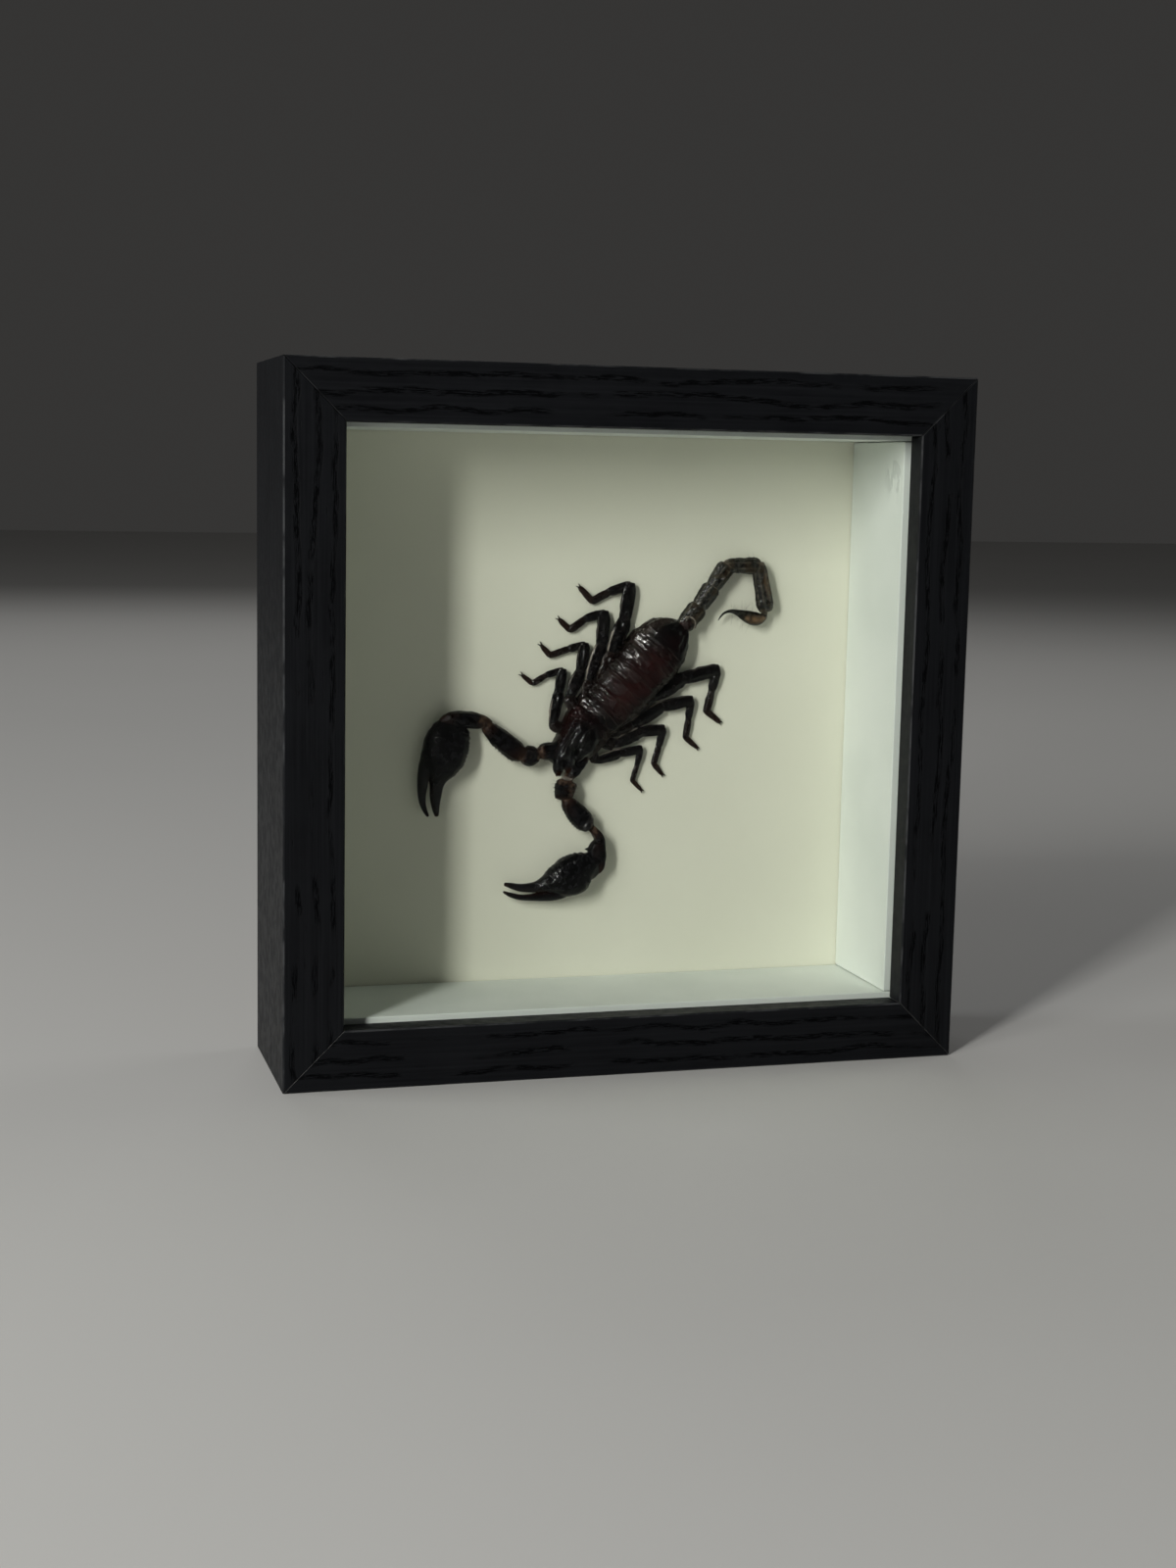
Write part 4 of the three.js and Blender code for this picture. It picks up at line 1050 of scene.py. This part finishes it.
def build_abdomen():
    """Seven overlapping back plates with pleated skin along both flanks."""
    starts = np.array((0, *PLATE_ENDS[:-1]))
    ends = np.array(PLATE_ENDS)
    last = len(ends) - 1

    def plate_of(at):
        index = np.clip(np.searchsorted(ends, at), 0, last)
        return index, np.clip((at - starts[index]) / (ends - starts)[index], 0, 1)

    def cover(turn, points):
        """1 on the horny back plates, 0 on the soft flanks."""
        ragged = 0.03 * noise(points, 3, 2)
        return step(0.26, 0.46, np.sin(turn) + ragged) * step(-0.82, -0.66, np.cos(turn) + ragged)

    def bow(at, turn, points):
        """Distance along the back measured to the plates' bowed edges."""
        return at + 0.8 * np.cos(turn) ** 2 + 0.25 * noise(points, 4, 10)

    def fold_height(bowed, turn):
        """Crosswise wrinkles: sharp crests about a millimetre apart."""
        folded = np.stack([bowed / 1.35, np.cos(turn) * 2.1, np.zeros(turn.shape)], axis=-1)
        return 0.5 - np.abs(noise(folded, 1.0, 11)) - 0.3 * np.abs(noise(folded, 0.5, 12))

    def relief(at, turn, points):
        cos, sin = np.cos(turn), np.sin(turn)
        bowed = bow(at, turn, points)
        index, share = plate_of(bowed)
        plate = cover(turn, points)
        lit = 0.5 + 0.5 * step(-0.1, 0.5, cos)
        overlap = -(0.1 + 0.6 * lit) * step(0.2, 0.0, share) + 0.25 * step(0.35, 0.96, share)
        overlap = overlap * step(0.5, 4, at) - 0.06 * ridge(share, 0.2, 0.05)
        middle = 0.16 * ridge(cos, 0, 0.07) * step(0.3, 0.6, share)
        keels = 0.26 * (ridge(np.abs(cos), 0.28, 0.06) + ridge(np.abs(cos), 0.58, 0.06))
        keels = keels * (index == last) * ridge(share, 0.55, 0.3)
        dents = 0.22 * noise(points, 5.5, 21) + 0.1 * noise(points, 2.0, 13)
        deep = (0.85 + 0.2 * (index < 2)) * lit * ridge(share, 0.6, 0.42) * (index < last)
        folds = (deep + 0.2 * (index == last)) * fold_height(bowed, turn)
        hard = overlap + middle + keels + dents + folds + 0.035 * granules(points, 0.55, 15)
        pleats = -0.35 + 0.45 * fold_height(bowed * 0.8, turn) + 0.22 * noise(points, 0.9, 19)
        edge = 0.25 * ridge(sin, 0.5, 0.07)
        scallops = 0.8 * np.sin(math.pi * share) * step(0.7, 0.9, cos) * step(26, 34, at)
        return scallops + plate * (hard + edge) + (1 - plate) * step(-0.75, -0.3, sin) * pleats

    def tones(at, turn, points):
        cos, sin = np.cos(turn), np.sin(turn)
        bowed = bow(at, turn, points)
        index, share = plate_of(bowed)
        plate = cover(turn, points)
        # The wrinkles' crests are painted paler: partly their own pale lines, partly painted light catching
        # the crests.
        lines = step(0.2, 0.42, fold_height(bowed, turn)) * (index < last)
        red = step(2, 9, at) * step(37, 27, at) * ridge(cos, -0.05, 0.65)
        red = red * (0.85 + 0.3 * noise(points, 3.0, 23))
        front = 0.4 * step(6, 0, at) * step(-0.2, 0.6, cos)
        purple = 0.2 * (index >= last - 1) * ridge(cos, -0.1, 0.35) * (1 + noise(points, 2.6, 24))
        seam = step(0.93, 0.98, share) * step(0.3, -0.2, cos) * (index < last)
        seam = seam * (0.75 + 0.5 * noise(points, 1.6, 26))
        rim = (index >= last - 1) * step(0.55, 0.85, cos) * step(0.0, 0.3, sin)
        flank = (1 - plate) * (0.35 + 0.3 * noise(points, 1.2, 27))
        shine = plate * step(0.1, 0.4, share) * step(-0.3, 0.45, cos)
        return {
            "warm": plate * (red + purple + front),
            "membrane": flank + plate * (0.75 * seam + 0.55 * rim + 0.3 * lines),
            "gloss": shine * (1 - 0.75 * (index == last)),
        }

    stations = trunk_stations(NECK, TAIL_ROOT, ABDOMEN)
    shell = loft(stations, 360, 170, 2.1, (0.7, 1.8), relief, tones, arched)
    settle(shell_object("abdomen_plates", [shell], BACK), "scorpion_back", "abdomen")


build_carapace()
build_abdomen()


# Tail and stinger


def straight_stations(start, end, swell, half, flatness, heights):
    """Stations of one straight joint that swells along its length."""
    whole = math.dist(start, end)
    stations = []
    for share, wide in swell:
        x, y = along_axis(start, end, share * whole)
        z = heights[0] + (heights[1] - heights[0]) * share
        stations.append((x, y, z, half * wide, min(half * wide * flatness, z - UNDERSIDE)))
    return stations


def tail_joint(number):
    """A tail joint with toothed keels, soft skin at both ends."""
    start, end, half = TAIL_JOINTS[number], TAIL_JOINTS[number + 1], TAIL_HALF[number]
    heights = (TAIL_HEIGHT, TAIL_HEIGHT)
    stations = straight_stations(start, end, TAIL_SWELL, half, TAIL_FLATNESS, heights)
    whole = length_of(stations)
    keel_turns = [UP + offset for offset in (-1.45, -0.95, -0.38, 0.38, 0.95, 1.45)]

    def relief(at, turn, points):
        share = at / whole
        keels = sum(crest(turn, keel, 0.17) for keel in keel_turns)
        beads = 0.6 + 0.4 * np.abs(np.sin(at * math.pi / 0.9 + 1.7 * number + 0.8 * noise(points, 1.5, 32)))
        body = step(0.05, 0.2, share) * step(1.0, 0.86, share)
        lumps = 0.14 * noise(points, 2.2, 33 + number) + 0.14 * noise(points, 1.0, 34)
        grains = 0.14 * granules(points, 0.6, 31 + number)
        return body * (0.4 * keels * beads - 0.22 + grains + lumps)

    def tones(at, turn, points):
        share = at / whole
        ends = step(0.12, 0.05, share) + step(0.91, 0.97, share)
        patchy = step(-0.1, 0.5, noise(points, 2.0, 35 + number))
        amber = 0.1 * patchy * step(0.2, 0.8, np.sin(turn))
        if number == TAIL_AMBER_STREAK:
            streaked = 0.7 + 0.7 * noise(points, 1.3, 38)
            amber = amber + streaked * crest(turn, 1.05, 0.34) * ridge(share, 0.45, 0.24)
        if number in TAIL_AMBER_ENDS:
            amber = amber + 0.25 * step(0.86, 0.95, share)
        # The keels are painted paler: partly their own pale colour, partly a painted highlight along them.
        keels = sum(crest(turn, keel, 0.1) for keel in keel_turns)
        soft = ends * (0.55 + 0.5 * noise(points, 0.9, 36)) + keels * (0.3 + 0.4 * noise(points, 1.2, 37))
        return {"membrane": soft, "warm": amber, "gloss": 0.9 * (1 - patchy)}

    return loft(stations, 76, 90, 2.2, (0.5, 0.5), relief, tones)


def build_tail():
    """Five joints, and the red lobe at the root with the pale ring of skin round it."""
    joints = shell_object("tail_joints", [tail_joint(number) for number in range(len(TAIL_HALF))], TAIL)

    def lumpy(at, turn, points):
        return 0.45 * noise(points, 1.4, 46) + 0.2 * noise(points, 0.7, 47)

    def reddish(at, turn, points):
        return {"warm": 0.5 + 0.4 * noise(points, 1.2, 48), "membrane": 0.1 + 0.3 * noise(points, 0.9, 49)}

    lobe = shell_object("tail_lobe", [loft(TAIL_LOBE, 40, 32, relief=lumpy, tones=reddish)], BACK)
    x, y, z, radius = TAIL_RING
    rim = [
        (x + radius * math.cos(angle), y + radius * math.sin(angle), z, 0.34, 0.4)
        for angle in np.linspace(2.1, -0.6, 9)
    ]
    ring = pale_skin("tail_ring", rim, 40, 12, depth=0.12, size=0.8, pale=0.7, seed=50)
    settle(join_objects([joints, lobe, ring]), "scorpion_tail", "tail")


def build_stinger():
    """The bulb, amber between dark bands, drawn out into the curved point."""
    whole = length_of(STINGER)

    def relief(at, turn, points):
        bulb = step(0.62, 0.45, at / whole)
        lumps = 0.12 * granules(points, 0.8, 41) + 0.14 * noise(points, 1.8, 43)
        return bulb * (lumps - 0.12 * crest(turn, UP + 0.9, 0.2))

    def tones(at, turn, points):
        share = at / whole
        bulb = step(0.06, 0.12, share) * step(0.52, 0.42, share)
        amber = crest(turn, UP - 0.15, 0.55) * (0.6 + 0.8 * noise(points, 1.5, 45))
        return {
            "warm": bulb * amber,
            "membrane": 0.8 * step(0.07, 0.03, share),
            "gloss": 0.5 * bulb + step(0.55, 0.6, share),
        }

    shell = loft(STINGER, 110, 48, 2.0, (0.5, 0.1), relief, tones)
    settle(shell_object("stinger_bulb", [shell], TAIL), "scorpion_tail", "stinger")


build_tail()
build_stinger()


# Pincers and jaws


def build_jaw(side):
    """A smooth bulb with two short curved tines."""
    stations = JAWS[side]
    whole = length_of(stations)

    def relief(at, turn, points):
        return 0.05 * noise(points, 1.4, 51) + 0.16 * crest(turn, UP + 0.8, 0.2) * step(0.5, 0.8, at / whole)

    def tones(at, turn, points):
        return {"gloss": step(0.75, 0.5, at / whole), "warm": step(0.65, 0.9, at / whole)}

    shells = [loft(stations, 44, 40, 2.1, (0.6, 0.3), relief, tones)]
    x, y, z = stations[-2][:3]
    for lean in (-0.5, 0.5):
        tine = [
            (x + lean, y + 0.4, z, 0.55, 0.6), (x + lean * 1.2, y - 0.5, z - 0.3, 0.4, 0.45),
            (x + lean * 0.7, y - 1.2, z - 0.8, 0.1, 0.1),
        ]
        shells.append(loft(tine, 14, 12, tones={"warm": 1}))
    settle(shell_object(f"jaw_bulb_{side}", shells, CLAW), "scorpion_shell", f"jaw_{side}")


def arm_joint(stations, grain, seed, soft_start, soft_end, smooth_from=2.0, knobs=0.0, tan_from=None):
    """One grained joint of a pincer arm, soft skin showing at its ends. It is smooth past one share of
    its length, and tan past one place across the card."""
    whole = length_of(stations)

    def relief(at, turn, points):
        share = at / whole
        rough = step(smooth_from + 0.08, smooth_from - 0.08, share)
        keels = crest_pair(turn, 0.75, 0.17) + crest(turn, UP, 0.12) * 0.5
        body = step(0.06, 0.2, share) * step(0.98, 0.85, share)
        grains = granules(points, 0.7, seed)
        lumps = 0.18 * noise(points, 1.9, seed + 1) + 0.08 * noise(points, 0.8, seed + 6)
        knobby = knobs * noise(points, 2.3, seed + 7)
        return body * (0.2 * keels + rough * grain * grains + knobby) + lumps * np.minimum(4 * share, 1)

    def tones(at, turn, points):
        share = at / whole
        ragged = 0.1 * noise(points, 1.1, seed + 2) + 0.05 * noise(points, 0.5, seed + 4)
        torn = 0.45 + 0.9 * noise(points, 0.8, seed + 5)
        soft = step(soft_start + 0.03, soft_start - 0.03, share + ragged)
        soft = soft + step(1 - soft_end - 0.03, 1 - soft_end + 0.03, share + ragged)
        brown = step(0.1, 0.6, noise(points, 2.6, seed + 3))
        if tan_from is not None:
            soft = soft + 0.8 * step(tan_from, tan_from + 1.5, points[..., 0])
        return {
            "membrane": 0.75 * soft * torn,
            "warm": 0.14 * brown + 0.5 * step(0.3, 0.05, np.minimum(share, 1 - share)),
            "gloss": step(smooth_from - 0.1, smooth_from + 0.05, share) + 0.2,
        }

    return loft(stations, 64, 64, 2.3, (0.4, 0.4), relief, tones)


def build_arm(side):
    """Four joints with rows of teeth and tubercles along the femur, and the patella's spike."""
    arm = ARMS[side]
    trochanter, femur, patella = arm["trochanter"], arm["femur"], arm["patella"]
    is_left = side == "left"
    tan = TAN_FROM if is_left else None
    shells = [
        arm_joint(arm["coxa"], 0.16, 61, soft_start=0.0, soft_end=0.14, knobs=0.3),
        arm_joint(trochanter, 0.22, 63, soft_start=0.22, soft_end=0.08, knobs=0.75, tan_from=tan),
        arm_joint(femur, 0.3, 65, soft_start=0.05, soft_end=0.08, smooth_from=0.78 if is_left else 2.0),
        arm_joint(patella, 0.09, 67, soft_start=0.16 if is_left else 0.22, soft_end=0.0),
    ]
    extra = []
    if is_left:
        knob = bead(FEMUR_KNOB[:3], FEMUR_KNOB[3], 19, 28)
        outward = (knob.points - FEMUR_KNOB[:3]) @ KNOB_FACE
        knob.points -= 0.6 * outward[:, None] * KNOB_FACE
        shells.append(knob)
        extra.append(pale_skin("jaw_skin", JAW_SKIN, 30, 16, depth=0.15, size=0.9, pale=0.8, seed=69))
    body = shell_object(f"pincer_arm_{side}", shells, CLAW)
    edge = TOOTH_TURN[side]
    far_edge = math.pi - edge
    teeth = edge_row(femur, 10, (0.14, 0.84), edge, (0.42, 0.5, 0.5, 0.36))
    teeth += edge_row(trochanter, 4, (0.3, 0.75), edge, (0.38, 0.42), 0.2)
    px, py, pz = patella[3][:3]
    sx, sy = arm["spike"]
    away = np.array([sx - px, sy - py, 0.0])
    teeth.append((np.array([sx, sy, pz]), away / np.linalg.norm(away), 0.62))
    inner = UP + (0.75 if edge else -0.75)
    outer = UP - (0.75 if edge else -0.75)
    # Each row: loft, how many, share of its length, angle round it, sizes, and how deep they sink
    bead_rows = [
        (femur, 12, (0.1, 0.8), far_edge, (0.3, 0.34, 0.26)),
        (femur, 13, (0.1, 0.76), outer, (0.26, 0.3, 0.24)),
        (femur, 11, (0.12, 0.7), inner, (0.22, 0.28, 0.2)),
        (trochanter, 5, (0.25, 0.8), far_edge, (0.3, 0.34)),
        (trochanter, 4, (0.35, 0.8), UP + 0.5, (0.36, 0.3), 0.3),
        (trochanter, 4, (0.4, 0.8), UP - 0.6, (0.3, 0.36), 0.3),
        (patella, 15, (0.2, 0.85), outer, (0.14, 0.18, 0.14), 0.1),
    ]
    beads = [spot for row in bead_rows for spot in edge_row(*row)]
    rows = [teeth_on(teeth, CLAW_TEETH, 0.8), teeth_on(beads, CLAW_TUBERCLES)]
    settle(join_objects([body, *rows, *extra]), "scorpion_shell", f"arm_{side}")


def build_hand(side):
    """A swollen hand with a net of grains and keels and a beaded inner edge, drawn out into the fixed
    finger."""
    stations = HANDS[side]
    whole = length_of(stations)
    palm_end = 0.52
    inner = TOOTH_TURN[side]
    sign = 1 if side == "right" else -1

    def relief(at, turn, points):
        share = at / whole
        palm = step(palm_end + 0.2, palm_end - 0.14, share) * step(0.03, 0.1, share)
        finger = step(palm_end - 0.02, palm_end + 0.1, share)
        keels = 0.34 * crest(turn, UP + sign * (0.62 - 0.35 * share), 0.1)
        keels = keels + 0.26 * crest(turn, UP - sign * 0.15, 0.1) + 0.22 * crest(turn, UP - sign * 0.75, 0.1)
        toothed = 0.7 + 0.3 * np.sin(at * TURN / 1.1)
        net = granules(points, 0.7, 71) + 0.4 * granules(points, 0.42, 73)
        ribs = 0.24 * crest(turn, inner, 0.85) * np.sin(at * TURN / 1.25 + 0.8 * np.cos(turn))
        grooves = finger * 0.16 * crest_pair(turn, 0.5, 0.2)
        lumps = 0.09 * noise(points, 3.2, 75)
        shape = palm * (keels * toothed + 0.14 * net + ribs + lumps)
        return shape - grooves + 0.035 * noise(points, 0.8, 77)

    def tones(at, turn, points):
        share = at / whole
        gap_side = crest(turn, math.pi - inner, 0.8) * step(palm_end, 0.7, share)
        return {
            "warm": 0.6 * gap_side + 0.5 * step(0.93, 1.0, share),
            "gloss": 0.35 + 0.3 * step(palm_end, 0.8, share),
        }

    shell = loft(stations, 190, 132, 2.3, (0.6, 0.4), relief, tones)
    body = shell_object(f"pincer_hand_{side}", [shell], CLAW)
    teeth = edge_row(stations, 15, (0.6, 0.96), math.pi - inner, (0.36, 0.3, 0.24, 0.14), 0.12)
    beads = edge_row(stations, 17, (0.1, 0.5), inner, (0.4, 0.5, 0.44, 0.34), 0.25)
    beads += edge_row(stations, 16, (0.1, 0.5), UP - sign * 0.85, (0.2, 0.3, 0.24), 0.1)
    rows = [teeth_on(teeth, CLAW_TUBERCLES, 0.9), teeth_on(beads, CLAW_TUBERCLES)]
    settle(join_objects([body, *rows]), "scorpion_shell", f"hand_{side}")


def build_finger(side):
    """The moving finger: grooved, with a row of blunt teeth towards the gap."""
    stations = FINGERS[side]
    whole = length_of(stations)
    gap = TOOTH_TURN[side]

    def relief(at, turn, points):
        share = at / whole
        grooves = 0.15 * crest_pair(turn, 0.55, 0.2) * step(0.15, 0.3, share)
        grains = 0.1 * granules(points, 0.6, 81) * step(0.5, 0.25, share)
        return grains + 0.04 * noise(points, 0.9, 83) - grooves

    def tones(at, turn, points):
        share = at / whole
        return {"warm": 0.8 * crest(turn, gap, 0.7) + 0.4 * step(0.9, 1.0, share), "gloss": 0.6}

    shell = loft(stations, 100, 60, 2.2, (0.5, 0.35), relief, tones)
    body = shell_object(f"moving_finger_{side}", [shell], CLAW)
    teeth = edge_row(stations, 17, (0.24, 0.95), gap, (0.34, 0.36, 0.26, 0.14), 0.1)
    row = teeth_on(teeth, CLAW_TUBERCLES, 0.9)
    settle(join_objects([body, row]), "scorpion_shell", f"finger_{side}")


for side in SIDES:
    build_jaw(side)
    build_arm(side)
    build_hand(side)
    build_finger(side)


# Legs


def leg_joint(start, end, heights, half, number):
    """One keeled joint of a leg; the feet are warmer, skin shows between joints, and pale painted highlights
    run along its keels.
    """
    swell = {LEG_FEMUR: FEMUR_SWELL, LEG_FOOT: FOOT_SWELL}.get(number, LEG_SWELL)
    stations = straight_stations(start, end, swell, half, LEG_FLATNESS, heights)
    whole = length_of(stations)

    def relief(at, turn, points):
        share = at / whole
        body = step(0.05, 0.2, share) * step(0.97, 0.85, share)
        edges = crest(turn, 0.35, 0.22) + crest(turn, math.pi - 0.35, 0.22)
        edges = edges + 0.6 * crest(turn, UP + 0.25, 0.16)
        hollow = -0.5 * (crest(turn, UP - 0.4, 0.28) + crest(turn, UP + 0.75, 0.28))
        grains = granules(points, 0.45, 91)
        dents = 0.11 * noise(points, 1.7, 92) + 0.06 * noise(points, 0.8, 94)
        if number == LEG_HIP:
            dents = dents + 0.2 * (0.4 - np.abs(noise(points, 1.1, 96)))
        return body * half * (0.14 * edges + 0.16 * hollow + dents) + 0.05 * min(half, 1) * grains

    def tones(at, turn, points):
        share = at / whole
        ends = step(0.07, 0.02, share) + step(0.95, 0.99, share)
        # Pale lines along the keels, strongest on the femur, are painted highlights.
        edge = (1.6 if number == LEG_FEMUR else 0.2) * crest(turn, 0.46, 0.1)
        edge = edge + 0.12 * crest(turn, math.pi - 0.3, 0.13)
        return {
            "membrane": 0.05 * ends + edge * step(-0.5, 0.3, noise(points, 2.4, 93)),
            "warm": LEG_WARMTH[number] + 0.08 * noise(points, 1.4, 95),
            "gloss": 0.5,
        }

    return loft(stations, 40, 36 if half > 1.2 else 26, 2.2, (0.25, 0.25), relief, tones)


def foot_claw(foot, heading, spread):
    """One curved claw of a foot's pair."""
    def ahead(distance, turn):
        return foot[0] + distance * math.cos(heading + turn), foot[1] + distance * math.sin(heading + turn)

    stations = [
        (*ahead(-0.2, 0), 0.85, 0.3, 0.35), (*ahead(FOOT_CLAW * 0.45, spread), 1.0, 0.22, 0.26),
        (*ahead(FOOT_CLAW * 0.85, spread * 0.9), 0.7, 0.13, 0.15),
        (*ahead(FOOT_CLAW, spread * 0.7), 0.4, 0.05, 0.05),
    ]
    return loft(stations, 14, 10, caps=(0.2, 0.1), tones={"warm": 0.5})


def build_leg(name, path, half):
    """Six joints from the root under the trunk to the foot, with its pair of claws."""
    root = along_axis(path[0], LEG_CENTRE, LEG_ROOT * math.dist(path[0], LEG_CENTRE))
    points = [tuple(root), *path]
    shells = [
        leg_joint(points[number], points[number + 1], LEG_HEIGHTS[number:number + 2], half * wide, number)
        for number, wide in enumerate(LEG_WIDTHS)
    ]
    heading = math.atan2(path[-1][1] - path[-2][1], path[-1][0] - path[-2][0])
    shells += [foot_claw(path[-1], heading, spread) for spread in (-0.5, 0.5)]
    settle(shell_object(f"walking_{name}", shells, LEG), "scorpion_legs", name)


for name, (half, *path) in LEGS.items():
    build_leg(name, path, half)


# Hairs


def hairs_on(source, name, slot, dense, density, length, thickness, seed):
    """Hairs of their own on a copy of a piece, set where dense says, from the points in millimetres."""
    mesh = bpy.data.objects[source].data.copy()
    places = np.empty(len(mesh.vertices) * 3, np.float32)
    mesh.vertices.foreach_get("co", places)
    x, y, z = places.reshape(-1, 3).T / MM
    on_it = np.stack([x, z, CARD_FRONT / MM - y], axis=1)
    add_tone(mesh, "bristle", np.clip(dense(on_it), 0, 1))
    carrier = new_object("hair_carrier", mesh)
    sizes = {"Density": density, "Length": length * MM, "Thickness": thickness * MM}
    settle(grown(carrier, bristle_tree(seed), name, **sizes), slot)


def build_hairs():
    """Long hairs on the stinger, short ones on the tail, the pincer arms and the feet."""
    hairs_on(
        "stinger_bulb", "stinger_hairs", "scorpion_tail",
        lambda p: step(60, 52, p[:, 0]) * step(46, 48, p[:, 0]),
        density=4e5, length=4.0, thickness=0.024, seed=5,
    )
    hairs_on(
        "tail_joints", "tail_hairs", "scorpion_tail",
        lambda p: step(1.5, 3, p[:, 2]),
        density=9e4, length=1.8, thickness=0.025, seed=15,
    )
    for side in SIDES:
        roots = np.array(ARMS[side]["trochanter"])[1:3, :2].mean(axis=0)
        hairs_on(
            f"pincer_arm_{side}", f"arm_hairs_{side}", "scorpion_shell",
            lambda p: step(9, 3, np.linalg.norm(p[:, :2] - roots, axis=1)) + 0.08,
            density=4.5e5, length=1.5, thickness=0.03, seed=25,
        )
    for name, row in LEGS.items():
        foot = np.array(row[-2:]).mean(axis=0)
        hairs_on(
            f"walking_{name}", f"hairs_{name}", "scorpion_legs",
            lambda p: step(6, 2.5, np.linalg.norm(p[:, :2] - foot, axis=1)) + 0.05,
            density=1.1e6, length=0.9, thickness=0.022, seed=35,
        )


build_hairs()


# Floor, light and camera, in metres

FLOOR_HALF = 6
# Lamps: name, degrees to the left of the front, degrees up, distance, width and height, watts and tint
LAMPS = [
    ("key", 43.5, 20, 1.9, (0.2, 0.9), 19, (1.0, 0.99, 0.95)),
    ("side", 52, 22, 1.9, (0.7, 0.9), 9, (1.0, 0.99, 0.95)),
    ("edge", 104, 18, 2.0, (0.8, 0.9), 6.5, (0.96, 0.99, 1.0)),
    ("fill", -35, 40, 2.2, (1.6, 1.6), 0.7, (0.95, 0.98, 1.0)),
    ("rear", 180, 35, 2.4, (1.4, 1.4), 6, (1.0, 0.99, 0.97)),
    ("right_side", -105, 28, 2.2, (1.0, 1.2), 4, (1.0, 0.99, 0.97)),
]
LAMP_TARGET = Vector((0, 0, 0.115))
AIR_TINT = (1.0, 0.975, 0.94, 1)
AIR_STRENGTH = 0.036
CAMERA_PLACE = Vector((-0.2126, -0.7054, 0.1961))
CAMERA_FORWARD = Vector((0.2759, 0.9510, -0.1393))
CAMERA_UP = Vector((0.0197, 0.1393, 0.9900))
# Lens and width of the sensor in millimetres
CAMERA_LENS = 50.61
CAMERA_SENSOR = 36


def build_floor():
    """A wide pale floor under the frame."""
    mesh = bpy.data.meshes.new("floor")
    corners = [(FLOOR_HALF * x, FLOOR_HALF * y, 0) for x, y in ((-1, -1), (1, -1), (1, 1), (-1, 1))]
    mesh.from_pydata(corners, [], [(0, 1, 2, 3)])
    finish = Finish("pale_floor", Roughness=0.75, Specular_IOR_Level=0.2)
    shade = finish.noise(3, 3)
    finish.set("Base Color", finish.blend(shade, (0.64, 0.637, 0.625), (0.67, 0.667, 0.655)))
    mesh.materials.append(finish.material)
    floor = new_object("floor", mesh)


def area_light(name, azimuth, elevation, distance, size, watts, tint):
    """A lamp aimed at the frame's middle."""
    a, e = math.radians(azimuth), math.radians(elevation)
    away = Vector((-math.sin(a) * math.cos(e), -math.cos(a) * math.cos(e), math.sin(e)))
    data = bpy.data.lights.new(name, "AREA")
    data.shape = "RECTANGLE"
    data.size, data.size_y = size
    data.energy = watts
    data.color = tint
    lamp = new_object(name, data)
    lamp.location = LAMP_TARGET + away * distance
    lamp.rotation_mode = "QUATERNION"
    lamp.rotation_quaternion = (-away).to_track_quat("-Z", "Y")


def build_world():
    """Weak even light from all round."""
    world = bpy.data.worlds.new("studio")
    world.use_nodes = True
    ground = world.node_tree.nodes["Background"]
    ground.inputs["Color"].default_value = AIR_TINT
    ground.inputs["Strength"].default_value = AIR_STRENGTH
    bpy.context.scene.world = world


def build_camera():
    """The photograph's viewpoint, with its slight roll."""
    data = bpy.data.cameras.new("camera")
    data.sensor_width = CAMERA_SENSOR
    data.lens = CAMERA_LENS
    camera = new_object("camera", data)
    back = -CAMERA_FORWARD.normalized()
    right = CAMERA_UP.cross(back).normalized()
    upright = back.cross(right)
    turned = Matrix((right, upright, back)).transposed().to_4x4()
    camera.matrix_world = Matrix.Translation(CAMERA_PLACE) @ turned
    bpy.context.scene.camera = camera


build_floor()
for row in LAMPS:
    area_light(*row)
build_world()
build_camera()
bpy.context.scene.view_settings.view_transform = "Standard"
